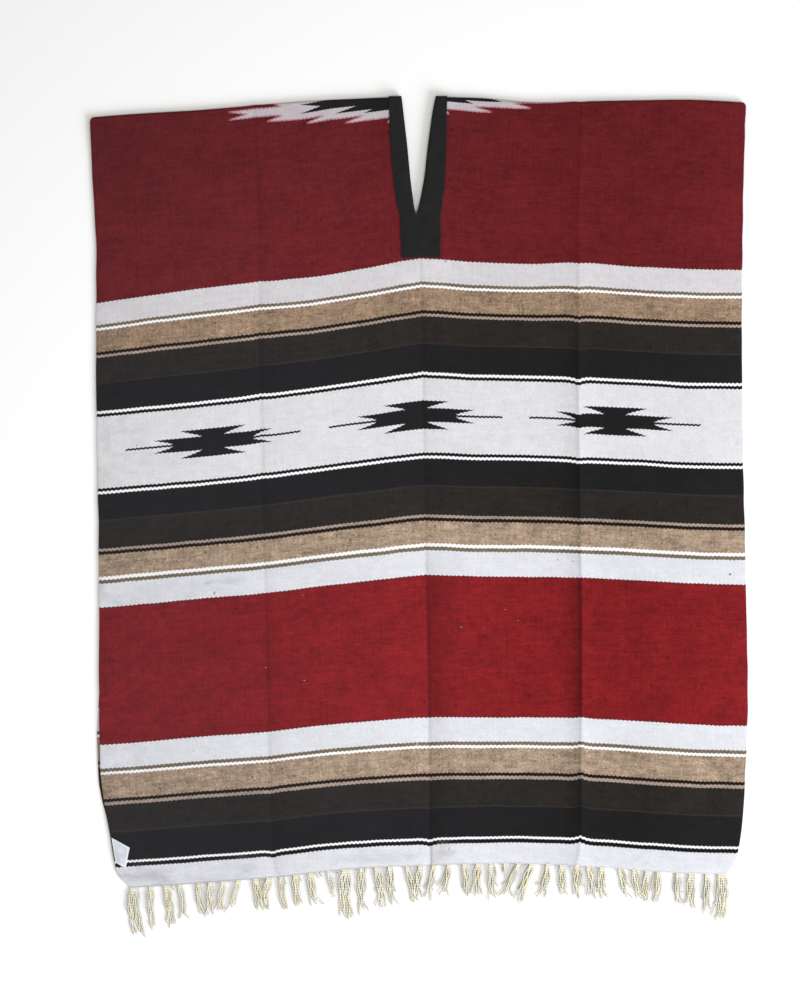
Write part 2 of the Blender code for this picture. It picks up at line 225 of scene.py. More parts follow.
swell = table(
    "across  upper  lower",
    (-450,    0.0,   0.0),
    (-425,    0.7,   0.6),
    (-350,    1.6,   1.4),
    (-260,    2.2,   2.0),
    (-150,    2.6,   2.6),
    (-60,     3.8,   4.0),
    (0,       4.2,   4.4),
    (60,      3.8,   4.0),
    (140,     4.6,   4.4),
    (200,     4.2,   4.0),
    (260,     2.6,   2.6),
    (330,     1.6,   1.6),
    (400,     1.8,   1.4),
    (435,     0.6,   0.5),
    (450,     0.0,   0.0),
)
creases = table(
    "across  rise  leftRun  rightRun  below",
    (-225,   -1.6,     55,       25,     0),
    (0,      -3.0,     80,       45,   222),
    (222,     3.4,     55,       35,     0),
)
# How far each crease wanders from its place, and how deep its shaded side has grown
creaseLines = table(
    "along  left  middle  right  leftDepth  middleDepth  rightDepth",
    (0,      3.0,   2.0,   -1.0,      0.0,         0.0,       0.05),
    (250,    2.0,   2.0,   -1.0,      0.1,         0.0,       0.20),
    (290,    2.0,   2.0,   -1.5,      0.2,         0.0,       0.30),
    (410,    2.0,   1.0,   -3.0,      0.3,         0.1,       0.80),
    (610,    3.5,   0.8,   -3.5,      0.4,         0.3,       0.85),
    (670,    4.5,   1.2,   -3.5,      0.7,         1.0,       1.00),
    (820,    6.5,   1.5,   -5.5,      1.0,         1.0,       1.00),
    (930,    6.0,   1.5,   -6.0,      1.0,         1.0,       0.90),
    (1066,  -1.0,  -0.5,   -1.5,      1.0,         1.0,       0.60),
)
# How far each crease tugs the stripes towards the hem, by measures along
tugs = table(
    "along  left  middle  right",
    (0,     -0.6,   0.0,    0.8),
    (230,   -0.9,  -1.2,    1.3),
    (385,   -1.2,  -1.6,    3.8),
    (500,   -0.6,  -0.5,    1.6),
    (640,    0.0,  -0.8,    0.0),
    (860,    0.4,   0.5,   -1.6),
    (940,    0.9,   0.6,   -3.6),
    (1035,   2.8,   2.8,   -4.0),
    (1066,   0.8,   0.8,   -1.5),
)


def column(rows, name, at):
    # One column of a table, read at a measure in metres
    keys = rows[next(iter(rows))]
    return smoothThrough(keys, rows[name], np.asarray(at) / mm)


def sideWord(prefix, side):
    return prefix + ("Left" if side < 0 else "Right")


creaseNames = ("left", "middle", "right")


def creasePlace(n, along):
    # Across, in mm, where a crease runs at a measure along
    return creases["across"][n] + column(creaseLines, creaseNames[n], along)


def foldLine(signed):
    return column(weft, "fold", signed) * mm


def bandWidth(side, below):
    return column(neck, sideWord("band", side), below) * mm


def sag(signed, along):
    lines = [column(weft, name, signed) + np.zeros(np.shape(along)) for name in weftLevels["name"]]
    return smoothThrough(weftLevels["along"], lines, along / mm) * mm


def stretchOf(signed, layer):
    hem = form["halfLength"]
    if layer == "back":
        hem = hem - column(weft, "backShort", signed) * mm
    return (hem - foldLine(signed)) / (form["halfLength"] - foldLine(0))


def lieOf(side, across, below, layer):
    # Place seen from above, and the measure along the woven length there
    signed = side * across
    along = foldLine(signed) + below * stretchOf(signed, layer)
    edge = column(sides, "left" if side < 0 else "right", along)
    if layer == "back":
        edge = edge - side * column(sides, sideWord("back", side), along)
    middle = column(sides, "middle", along)
    spread = column(neck, sideWord("slit", side), below) * mm
    spread = spread * (1 - across / form["halfWidth"]) ** 3
    x = middle * mm + (edge - middle) * mm * across / form["halfWidth"] + side * spread
    turned = form["cornerRound"] * np.maximum(0, 1 - below / form["cornerRound"]) ** 2
    x = x - side * turned * np.maximum(0, 1 - (form["halfWidth"] - across) / form["cornerReach"])
    tug = 0
    for n, name in enumerate(creaseNames):
        near = np.maximum(0, 1 - np.abs(signed / mm - creasePlace(n, along)) / form["tugRun"]) ** 2
        tug = tug + column(tugs, name, along) * mm * near
    weftAt = along if layer == "front" else 2 * foldLine(signed) - along
    return x + form["frameX"], form["frameY"] - along - sag(signed, along) - tug, weftAt


def waves(x, y, seed, lengths):
    # Smooth unevenness from -1 to 1: sines in fixed random directions
    chance = random.Random(seed)
    total = 0
    for length in lengths:
        turn, phase = chance.uniform(0, math.pi), chance.uniform(0, math.tau)
        total = total + np.sin((x * math.cos(turn) + y * math.sin(turn)) * math.tau / length + phase)
    return total / len(lengths)


def relief(signed, below):
    lower = ease(below / form["halfLength"])
    rise = column(swell, "upper", signed) * (1 - lower) + column(swell, "lower", signed) * lower
    for n in range(len(creaseNames)):
        away = signed / mm - creasePlace(n, below)
        run = np.where(away < 0, creases["leftRun"][n], creases["rightRun"][n])
        grown = ease((below / mm - creases["below"][n]) / form["creaseStart"])
        rise = rise + creases["rise"][n] * grown * np.maximum(0, 1 - np.abs(away) / run) ** 2
    press = form["foldPress"] + (1 - form["foldPress"]) * ease(below / form["foldReach"])
    ripple = waves(signed, below, form["rippleSeed"], form["rippleLengths"]) * form["ripple"]
    return rise * mm * press + ripple * np.minimum(1, rise)


def backHeight(side, across, below):
    beside = ease(1 - (across - bandWidth(side, below)) / form["bandEase"])
    beyond = ease(1 - (below - form["blockEnd"]) / form["blockEase"])
    return form["wall"] / 2 + (form["band"] + form["gap"]) * beside * beyond


def frontHeight(side, across, below):
    spring = form["foldRise"] * (1 - ease(below / form["foldReach"]))
    resting = backHeight(side, across, below) + form["wall"] + form["gap"]
    return resting + spring + relief(side * across, below)


def surface(side, across, rows):
    # Middle of the wall, the direction out of it, and the measures of the weave, on a grid.
    # A row is ("front", distance below the fold), ("turn", degrees) or ("back", distance), and
    # across runs away from the neck: a list, or a function of the row's distance below the fold.
    places, weave = [], []
    for kind, value in rows:
        if kind == "turn":
            at = across(0.0) if callable(across) else across
            low, high = backHeight(side, at, 0), frontHeight(side, at, 0)
            radius = (high - low) / 2
            angle = math.radians(value)
            below = form["wall"] / 2 + radius - radius * math.cos(angle)
            x, y, _ = lieOf(side, at, below, "front")
            z = low + radius + radius * math.sin(angle)
            v = foldLine(side * at) + (form["wall"] / 2 + radius) * value / 90
        else:
            at = across(value) if callable(across) else across
            x, y, v = lieOf(side, at, value, kind)
            height = frontHeight if kind == "front" else backHeight
            z = height(side, at, value)
        places.append(np.stack([x, y, z + np.zeros(len(at))], -1))
        weave.append(np.stack([side * at, v, np.zeros(len(at))], -1))
    places, weave = np.array(places), np.array(weave)
    out = np.cross(np.gradient(places, axis=1) * side, np.gradient(places, axis=0))
    out /= np.linalg.norm(out, axis=-1, keepdims=True)
    return places, out, weave


def gridFaces(rowCount, columnCount, index, side):
    # Faces that look out of the cloth, for a grid whose rows run from the front hem over the fold
    faces = []
    for r in range(rowCount - 1):
        for c in range(columnCount - 1):
            corners = [index(r, c), index(r, c + 1), index(r + 1, c + 1), index(r + 1, c)]
            faces.append(corners if side > 0 else corners[::-1])
    return faces


def sheetMesh(name, places, weave, faces):
    # An open sheet whose points know their place in the weave
    mesh = bpy.data.meshes.new(name)
    mesh.from_pydata(places.reshape(-1, 3).tolist(), [], faces)
    mesh.update()
    attribute = mesh.attributes.new("weave", "FLOAT_VECTOR", "POINT")
    attribute.data.foreach_set("vector", weave.astype(np.float32).ravel())
    return mesh


rimAngle = math.radians(55)       # an edge bent more than this is rounded
sharpAngle = math.radians(50)     # and one that still bends more is shaded sharp


def thicken(obj, thickness, rounding):
    # Wall thickness to both sides of the sheet, rounded along its rim
    wall = obj.modifiers.new("wall", "SOLIDIFY")
    wall.thickness = thickness
    wall.offset = 0
    wall.use_even_offset = False
    rim = obj.modifiers.new("rim", "BEVEL")
    rim.width = rounding
    rim.segments = 2
    rim.limit_method = "ANGLE"
    rim.angle_limit = rimAngle
    made = withModifiersApplied(obj)
    made.data.shade_smooth()
    made.data.set_sharp_from_angle(angle=sharpAngle)
    return made


# Woollen cloth: one closed shell from the front hem over the shoulders to the back hem
cloth = {
    "columns": 80,            # on each side of the neck
    "besideCrease": 0.0023,   # columns that close in on each crease
    "frontStep": 0.007,
    "backStep": 0.024,
    "turnStep": 15,           # degrees round the fold
    "slitTuck": 0.0016,       # the cut edge stops short inside the binding
    "tuckRun": 0.020,
    "tuckReach": 0.030,
    "selvedgeStray": 0.0005,
    "strayReach": 0.020,
    "straySeed": 11,
    "strayLengths": (0.017, 0.031, 0.052),
    "rounding": 0.0007,
}


def clothRows(frontStep, backStep, turnStep, end):
    # Rows from the front hem up, round the fold and down the back, and how far below it each lies
    near, close = form["nearFold"], form["closeRows"]
    frontCount, backCount = (round((end - near) / step) for step in (frontStep, backStep))
    rows = [("front", end + (near - end) * n / frontCount) for n in range(frontCount + 1)]
    rows += [("front", near * share) for share in close]
    rows += [("turn", 90 - turnStep * n) for n in range(180 // turnStep + 1)]
    rows += [("back", near * share) for share in close[::-1]]
    rows += [("back", near + (end - near) * n / backCount) for n in range(backCount + 1)]
    return rows, np.array([0.0 if kind == "turn" else value for kind, value in rows])


def makeCloth(material):
    half = form["halfWidth"]
    hem = float(form["halfLength"] - foldLine(0))
    rows, below = clothRows(cloth["frontStep"], cloth["backStep"], cloth["turnStep"], hem)
    beside = [half / 2 + close for close in (-cloth["besideCrease"], cloth["besideCrease"])]
    even = np.sort(np.append(np.linspace(0, half, cloth["columns"] + 1), beside))
    wide = len(even)
    joined = below >= form["slitEnd"]

    def onCreases(side):
        # The middle column of each side runs along its crease, and the first one right of the
        # middle along the middle crease
        def across(at):
            outer = abs(creasePlace(0 if side < 0 else 2, at)) * mm
            places = [0, creasePlace(1, at) * mm, outer, half]
            keys = [0, even[1], half / 2, half]
            if side < 0:
                del places[1], keys[1]
            return np.interp(even, keys, places)
        return across

    points, weaves, faces, grids = [], [], [], {}
    for side in (-1, 1):
        places, _, weave = surface(side, onCreases(side), rows)
        tuck = cloth["slitTuck"] * ease((form["slitEnd"] - below) / cloth["tuckRun"])
        fade = np.maximum(0, 1 - even / cloth["tuckReach"])
        places[:, :, 0] += side * tuck[:, None] * fade[None]
        stray = waves(places[:, :, 1], places[:, :, 2] * 9,
                      cloth["straySeed"] + side, cloth["strayLengths"])
        nearEdge = np.maximum(0, 1 - (half - even) / cloth["strayReach"])
        places[:, :, 0] += stray * cloth["selvedgeStray"] * nearEdge
        grids[side] = len(points) * len(rows) * wide
        points.append(places)
        weaves.append(weave)

    def index(side, r, c):
        home = -1 if c == 0 and joined[r] else side      # one middle line below the V
        return grids[home] + r * wide + c

    for side in (-1, 1):
        faces += gridFaces(len(rows), wide, lambda r, c: index(side, r, c), side)
    points, weaves = np.array(points).reshape(-1, 3), np.array(weaves).reshape(-1, 3)
    used = np.unique(np.array(faces))
    fresh = np.zeros(len(points), int)
    fresh[used] = np.arange(len(used))
    faces = fresh[np.array(faces)].tolist()
    mesh = sheetMesh("serapeCloth", points[used], weaves[used], faces)
    return thicken(makeObject("serapeCloth", mesh, material), form["wall"], cloth["rounding"])


# Colours and patterns of the weave: each yarn has a colour and a strength of its heather
yarns = {
    "deepRed": ("#691D21", 0.40),
    "brightRed": ("#821C20", 0.44),
    "neckPink": ("#B98B92", 0.40),
    "neckWhite": ("#C8BFC4", 0.12),
    # upperWhite and hemWhite are the white wool drawn darker at the top and a little bluer at the hem, in
    # part painted shade and tint of the light falling off towards the top
    "upperWhite": ("#D6D3D6", 0.12),
    "white": ("#DDDDE0", 0.11),
    "hemWhite": ("#DEDFE4", 0.11),
    "cream": ("#F6F6F6", 0.06),
    "tan": ("#98806A", 0.62),
    "paleTan": ("#A48F7A", 0.62),
    "thinTan": ("#776A58", 0.35),
    "pinkTan": ("#A39388", 0.35),
    "darkBrown": ("#21160F", 0.20),
    "brown": ("#292522", 0.40),
    "brownEdge": ("#322F2D", 0.20),
    "redEdge": ("#651419", 0.30),
    "black": ("#1D1D1E", 0.25),
    "jet": ("#131314", 0.15),
}
stripes = table(
    "end     yarn",
    (229.3,  "deepRed"),
    (230.6,  "redEdge"),
    (262.3,  "upperWhite"),
    (266.5,  "thinTan"),
    (270.1,  "cream"),
    (301.5,  "tan"),
    (306.0,  "darkBrown"),
    (309.6,  "pinkTan"),
    (345.8,  "brown"),
    (347.4,  "brownEdge"),
    (386.5,  "black"),
    (390.3,  "cream"),
    (394.6,  "jet"),
    (497.0,  "white"),
    (501.2,  "jet"),
    (504.9,  "cream"),
    (541.6,  "black"),
    (543.4,  "brownEdge"),
    (582.6,  "brown"),
    (586.4,  "pinkTan"),
    (591.2,  "darkBrown"),
    (622.3,  "paleTan"),
    (627.0,  "cream"),
    (632.1,  "thinTan"),
    (666.1,  "hemWhite"),
    (667.4,  "redEdge"),
    (860.7,  "brightRed"),
    (862.1,  "redEdge"),
    (895.9,  "hemWhite"),
    (900.7,  "thinTan"),
    (904.5,  "cream"),
    (939.2,  "paleTan"),
    (943.7,  "darkBrown"),
    (948.2,  "pinkTan"),
    (985.2,  "brown"),
    (987.0,  "brownEdge"),
    (1028.2, "black"),
    (1031.4, "cream"),
    (1037.0, "jet"),
    (1066.0, "hemWhite"),
)
# Charts of the woven figures: half the figure's length at a distance from its middle, with a drop
# where one finger ends in its point and the next begins
diamondChart = table(
    "apart  half",
    (0.0,   120),
    (1.35,  122),
    (1.4,    55),
    (4.0,    61),
    (9.4,    83),
    (9.5,    15),
    (12.3,   22),
    (19.4,   46),
    (19.5,    0),
)
whiteChart = table(
    "apart  half",
    (0.0,   232),
    (5.6,   260),
    (5.7,   180),
    (13.4,  206),
    (13.5,  119),
    (20.6,  149),
    (20.7,   60),
    (27.8,   92),
    (27.9,   20),
    (30.4,   20),
    (34.6,   27),
    (34.7,    0),
)
blackChart = table(
    "apart  half",
    (0.0,   126),
    (6.2,   157),
    (6.3,    72),
    (13.5,  105),
    (13.6,   48),
    (17.6,   62),
    (17.7,    0),
)
# How far up past mid-length the shoulder figure lies
figureShift = table(
    "across  up",
    (-450,    2.0),
    (-110,    2.0),
    (-70,    -0.5),
    (-22,    -4.5),
    (-2,     -4.5),
    (2,       4.6),
    (450,     4.6),
)
# Stains, soil, chaff and bits of stray yarn: place and size in mm, colour and strength
marks = table(
    "across  along  wide  tall  colour  strength",
    (-350,  648,   120,  30,   "#9395A2",  0.10),
    (-300,  645,   16,   5,    "#888CA4",  0.42),
    (-264,  645,   26,   9,    "#989BB0",  0.38),
    (-291,  660,   2.4,  3.4,  "#6E6078",  0.60),
    (-262,  1046,  46,   22,   "#8D8C98",  0.20),
    (-410,  1052,  60,   26,   "#7F7A8A",  0.28),
    (-330,  1062,  120,  10,   "#7F7B8A",  0.24),
    (-70,   1054,  110,  18,   "#8D8C98",  0.22),
    (22,    1048,  20,   26,   "#A3A29C",  0.36),
    (428,   652,   2.4,  2.4,  "#55504C",  0.8),
    (-228,  497,   0.9,  2.2,  "#C9C4B8",  0.8),
    (-15,   899,   0.9,  3.0,  "#E4E1DC",  0.8),
    (-13,   388,   0.9,  3.0,  "#1D1D1E",  0.8),
    (-14,   912,   1.5,  1.2,  "#4A3A2C",  0.8),
    (36,    232,   1.2,  3.4,  "#83191E",  0.8),
    (186,   642,   1.4,  1.4,  "#6C665F",  0.8),
    (208,   643,   1.4,  1.2,  "#6C665F",  0.8),
    (28,    1044,  1.6,  2.6,  "#9FA3A0",  0.8),
    (-395,  440,   1.8,  1.4,  "#A59F98",  0.8),
    (49,    737,   1.9,  1.0,  "#B58279",  0.8),
    (129,   727,   1.4,  1.0,  "#A8706A",  0.8),
    (111,   712,   1.9,  0.9,  "#A8706A",  0.8),
    (-221,  771,   1.5,  1.2,  "#B58279",  0.8),
    (-168,  796,   2.0,  1.2,  "#B58279",  0.8),
    (-169,  676,   1.6,  1.0,  "#A8706A",  0.8),
)
# Painted shade across the cloth, as the light falls on it: the tone of dyed wool above and below
# the middle stripes, and the share of a grey veil in it
paintedShadeAcross = table(
    "across  upper  lower  dust",
    (-450,    0.93,  0.83,  0.030),
    (-300,    1.00,  0.84,  0.024),
    (-200,    1.05,  0.90,  0.018),
    (-110,    1.07,  1.00,  0.014),
    (-20,     1.01,  1.03,  0.010),
    (90,      1.01,  1.02,  0.004),
    (200,     0.98,  0.93,  0.000),
    (290,     0.97,  0.86,  0.000),
    (370,     1.03,  0.96,  0.001),
    (450,     1.07,  1.03,  0.003),
)
# The look of the left, middle and right crease: its thin line, its shaded side (1 for the right)
# and how far that reaches, and the bright side
creaseLooks = table(
    "line  shade  side  reach  glow",
    (0.10,  0.08,   1,    26,   0.00),
    (0.14,  0.28,   1,    58,   0.02),
    (0.12,  0.46,  -1,    32,   0.04),
)
creaseLight = {
    "width": (4.6, 0.4),      # how far off its middle the thin line ends and is darkest
    "middle": 1.2,
    "blur": 1.5,              # half the run from the bright side to the shaded one
    "falloff": 1.4,
    "glowReach": 28.0,
    "onPale": 0.6,            # how strong the thin line is on white
}
# Heather from noise: a low share draws it out across or along, its size is in mm
heatherNoise = table(
    "wide  tall  size  swing",
    (0.8,  1.0,   2.4,  0.30),     # clumps of fibre
    (0.25, 1.0,   3.4,  0.24),     # along the weft
    (1.0,  0.25,  3.6,  0.20),     # along the warp
    (0.5,  1.0,   9.0,  0.30),
    (0.7,  1.0,  40.0,  0.27),     # patches
    (1.0,  0.05,  4.4,  0.13),     # warp ribs
    (0.03, 1.0,   3.0,  0.15),     # picks of unlike yarn
)
# Stray fibres: size of their cells in mm, the share of cells with one, and how much it lightens
flecks = table(
    "seed  size  density  lift",
    (1,     3.0,   0.22,   0.75),
    (2,     3.2,   0.20,  -0.62),
    (3,     6.0,   0.015, -0.80),
)
# Wear, soil and painted shade: measures in mm from and to, and the strength at each end
wearAndPaintedShade = {
    "toLowerShade": (500.0, 640.0),
    "nearFold": (30.0, 170.0, 1.0, 0.0),
    "foldShade": (-280.0, 100.0, 1.18, 1.07),      # painted shade: the red is darker at the fold, more at the left
    "soiledEdge": (-330.0, -440.0),
    "blots": (0.46, 0.66, 0.0, 0.10),
    "blotSize": 24,
    "lastRows": (1063.4, 1065.4),
    "hemShadeAcross": (-300.0, 250.0, 0.34, 0.12),        # painted shade on the hem's last rows, how dark it is from left to right
    "dust": "#8E8E9C",
    "greyVeilAlong": (0.0, 1066.0, 0.7, 1.25),
    "stainRim": (0.30, 0.70, 0.5, -0.2),           # raggedness of a stain's rim
    "stainFrom": 5,                                # a mark wider than this has such a rim
}
weaveLook = {
    "figureAlong": 445.0,          # middle of the small figures
    "figureAcross": (-290.0, -9.0, 270.0),
    "warpPair": 5.9,               # two warps, the width of one weft float
    "weftRow": 1.3,
    "tooth": 0.62,                 # how far a colour's edge steps at every other warp
    "figureTooth": 0.55,
    "shoulderTooth": 0.33,
    "unevenTeeth": 2.2,
    "unevenRun": 15,
    "wander": 0.7,                 # how far a weft line strays
    "wanderRun": 42,
    "mixedPicks": 0.9,             # half the rows where two yarns alternate at a figure's edge
    "boundEdge": 2.5,              # black yarn along the raw edges of the slit, and past its end
    "boundEnd": 2.0,
    "unevenFloats": 0.13,
    "hueLean": (0.10, -0.05, 0.06),
    "hueNoise": (0.5, 1.4, 8, 1.0),
    "fleckEdge": (0.42, 0.14),
    "fleckGreen": (0.03, 0.15, 0.35, 1.0),     # green in a yarn's colour, and how far it shows flecks
    "dyedGreen": (0.0, 0.62, 1.0, 0.34),       # the same, and how far it takes painted shade
    "napSize": 0.9,
    "napHeight": 0.6,
    "bump": (0.55, 0.0004),
    "shine": {"Roughness": 0.95, "Specular IOR Level": 0.10, "Sheen Weight": 0.03, "Sheen Roughness": 0.5},
}


def readTable(add, value, rows, names, low, high):
    # Up to three columns of a table, read at a measure by one ramp; their values lie from low to high
    keys = rows[next(iter(rows))]
    ramp = add("ValToRGB", None, add("MapRange", None, value, keys[0], keys[-1]))
    stops = ramp.color_ramp.elements
    while len(stops) > 1:
        stops.remove(stops[-1])
    for n, key in enumerate(keys):
        position = (key - keys[0]) / (keys[-1] - keys[0])
        stop = stops[0] if n == 0 else stops.new(position)
        stop.position = position
        levels = [(rows[name][n] - low) / (high - low) for name in names]
        stop.color = levels + [0.0] * (3 - len(levels)) + [1.0]
    parts = add("SeparateColor", None, ramp)
    return [add("MapRange", None, {0: parts.outputs[n], 3: low, 4: high}) for n in range(len(names))]


def paint(add, under, mask, yarn):
    # Lays a yarn over the colour and heather strength that are there, where the mask is 1
    hexColour, heather = yarns[yarn]
    colour = add("Mix", colours, {0: mask, 6: under[0], 7: linearColour(hexColour)})
    strength = add("Mix", None, {0: mask, 2: under[1], 3: heather})
    return colour.outputs[2], strength.outputs[0]


def chartMask(add, chart, apart, off):
    # 1 inside a figure: where the measure off its middle is less than its chart says for that row
    half, = readTable(add, apart, chart, ("half",), 0.0, chart["half"].max())
    return add("Math", "LESS_THAN", off, half)


def awayFrom(add, value, centre):
    return add("Math", "ABSOLUTE", add("Math", "SUBTRACT", value, centre))


def wovenPattern(add, inMm, across, signedAlong):
    # Stripes and figures, with edges that step at every other warp and lines that wander a little
    strays, uneven = [add("TexNoise", flat, {"Vector": inMm, "Scale": 1 / weaveLook[run], "Detail": 1.0})
                      for run in ("wanderRun", "unevenRun")]
    stray = add("MapRange", None, {0: strays, 3: -weaveLook["wander"], 4: weaveLook["wander"]})
    phase = add("Math", "MULTIPLY", uneven, weaveLook["unevenTeeth"])
    pairTurn = add("Math", "MULTIPLY_ADD", across, math.tau / weaveLook["warpPair"], phase)
    pairWave = add("Math", "SINE", pairTurn)
    along = awayFrom(add, signedAlong, 0.0)
    strayed = add("Math", "ADD", along, stray)
    toothed = add("Math", "MULTIPLY_ADD", pairWave, weaveLook["tooth"], strayed)
    figured = add("Math", "MULTIPLY_ADD", pairWave, weaveLook["figureTooth"], strayed)

    start = 0.0
    painted = (linearColour(yarns["deepRed"][0]), yarns["deepRed"][1])
    for end, yarn in zip(stripes["end"], stripes["yarn"]):
        past = add("Math", "GREATER_THAN", toothed, start)
        painted = paint(add, painted, past, yarn)
        start = end

    shift, = readTable(add, across, figureShift, ("up",), -5.0, 5.0)
    stepped = add("Math", "MULTIPLY_ADD", pairWave, weaveLook["shoulderTooth"], stray)
    moved = add("Math", "ADD", signedAlong, shift)
    fromMiddle = awayFrom(add, add("Math", "ADD", moved, stepped), 0.0)
    fromNeck = awayFrom(add, across, 0.0)
    # Red and white picks alternate on the rows at the white figure's edge
    gaps = (-weaveLook["mixedPicks"], weaveLook["mixedPicks"])
    shares = [chartMask(add, whiteChart, add("Math", "ADD", fromMiddle, gap), fromNeck) for gap in gaps]
    for overlap, yarn in (("MAXIMUM", "neckPink"), ("MINIMUM", "neckWhite")):
        painted = paint(add, painted, add("Math", overlap, *shares), yarn)
    painted = paint(add, painted, chartMask(add, blackChart, fromMiddle, fromNeck), "black")
    fromRow = awayFrom(add, figured, weaveLook["figureAlong"])
    nearest = 1000.0
    for centre in weaveLook["figureAcross"]:
        nearest = add("Math", "MINIMUM", awayFrom(add, across, centre), nearest)
    painted = paint(add, painted, chartMask(add, diamondChart, fromRow, nearest), "black")

    # Under the binding the raw edges of the slit are bound in black
    nearSlit = add("Math", "LESS_THAN", fromNeck, weaveLook["boundEdge"])
    aboveEnd = add("Math", "LESS_THAN", along, form["slitEnd"] / mm + weaveLook["boundEnd"])
    bound = add("Math", "MULTIPLY", nearSlit, aboveEnd)
    return paint(add, painted, bound, "black")


def heatheredWool(add, inMm, painted):
    # Carded wool: each float of weft has its own tone, in clumps, ribs and broad patches
    colour, strength = painted
    floats = add("TexBrick", None, {
        "Vector": inMm, "Color1": (0, 0, 0, 1), "Color2": (1, 1, 1, 1), "Mortar": (0.4, 0.4, 0.4, 1),
        "Scale": 1.0, "Mortar Size": 0.16, "Mortar Smooth": 1.0,
        "Brick Width": weaveLook["warpPair"], "Row Height": weaveLook["weftRow"]})

    def noiseTone(wide, tall, size, swing):
        # Smooth tone from -swing to swing
        stretched = add("VectorMath", "MULTIPLY", inMm, (wide, tall, 1))
        noise = add("TexNoise", flat,
                    {"Vector": stretched, "Scale": 1 / size, "Detail": 2.0, "Roughness": 0.6})
        return add("MapRange", None, noise, 0.25, 0.75, -swing, swing)

    tone = add("MapRange", None, {0: floats, 3: -weaveLook["unevenFloats"], 4: weaveLook["unevenFloats"]})
    for row in zip(*heatherNoise.values()):
        tone = add("Math", "ADD", tone, noiseTone(*row))
    swing = add("Math", "MULTIPLY_ADD", tone, strength, 1.0)
    toned = add("VectorMath", "SCALE", {0: colour, "Scale": swing})

    # Hue strays between pink and olive, in longer runs
    hue = add("Math", "MULTIPLY", noiseTone(*weaveLook["hueNoise"]), strength)
    lean = add("VectorMath", "SCALE", {0: weaveLook["hueLean"], "Scale": hue})
    tint = add("VectorMath", "ADD", lean, (1, 1, 1))
    return add("VectorMath", "MULTIPLY", toned, tint).outputs[0], floats


def withFlecks(add, inMm, colour, strength, seed, size, density, lift):
    # Stray fibres, paler or darker than the wool, on a share of the cells of a given size in mm
    moved = add("VectorMath", "ADD", inMm, (seed * 37.0, seed * 91.0, 0))
    cells = add("TexVoronoi", {"voronoi_dimensions": "2D"}, {"Vector": moved, "Scale": 1 / size})
    chance = add("SeparateColor", None, cells.outputs["Color"])
    chosen = add("Math", "LESS_THAN", chance.outputs[0], density)
    spot = add("MapRange", None, cells.outputs["Distance"], *weaveLook["fleckEdge"], 0.0, 1.0)
    amount = add("Math", "MULTIPLY", add("Math", "MULTIPLY", chosen, spot), strength)
    swing = add("Math", "MULTIPLY_ADD", amount, lift, 1.0)
    return add("VectorMath", "SCALE", {0: colour, "Scale": swing}).outputs[0]


def dyedShare(add, colour):
    # How far a yarn takes the painted shade: 1 on red, brown and black wool, less on tan, a third on white
    channels = add("SeparateColor", None, colour)
    return add("MapRange", None, channels.outputs[1], *weaveLook["dyedGreen"])


def creaseShade(add, across, along, dyed):
    # What is left of the light beside the storage creases: a thin dark line, then a shaded and a
    # bright side
    drifts = readTable(add, along, creaseLines, creaseNames, -10.0, 10.0)
    depths = readTable(add, along, creaseLines, [name + "Depth" for name in creaseNames], 0.0, 1.0)
    lineShare = add("MapRange", None, {0: dyed, 3: creaseLight["onPale"], 4: 1.0})
    blur = creaseLight["blur"]
    light = 1.0
    creaseRows = zip(drifts, depths, creases["across"], zip(*creaseLooks.values()))
    for drift, depth, home, (line, shade, side, reach, glow) in creaseRows:
        offset = add("Math", "SUBTRACT", across, add("Math", "ADD", drift, home))
        outward = add("Math", "MULTIPLY", offset, side)
        apart = awayFrom(add, outward, creaseLight["middle"])
        thin = add("MapRange", smooth, apart, *creaseLight["width"], 0.0, line)
        thinShade = add("Math", "MULTIPLY", thin, lineShare)
        past = add("MapRange", smooth, outward, -blur, blur)
        before = add("Math", "SUBTRACT", 1.0, past)
        grown = add("Math", "MULTIPLY", depth, dyed)
        slope = add("Math", "POWER", add("MapRange", None, outward, reach, 0.0), creaseLight["falloff"])
        shaded = add("Math", "MULTIPLY", slope, past)
        rising = add("MapRange", None, outward, -creaseLight["glowReach"], 0.0, 0.0, glow)
        bright = add("Math", "MULTIPLY", rising, before)
        sideLight = add("Math", "MULTIPLY_ADD", shaded, -shade, bright)
        flanks = add("Math", "MULTIPLY_ADD", sideLight, grown, 1.0)
        light = add("Math", "MULTIPLY", add("Math", "SUBTRACT", flanks, thinShade), light)
    return light


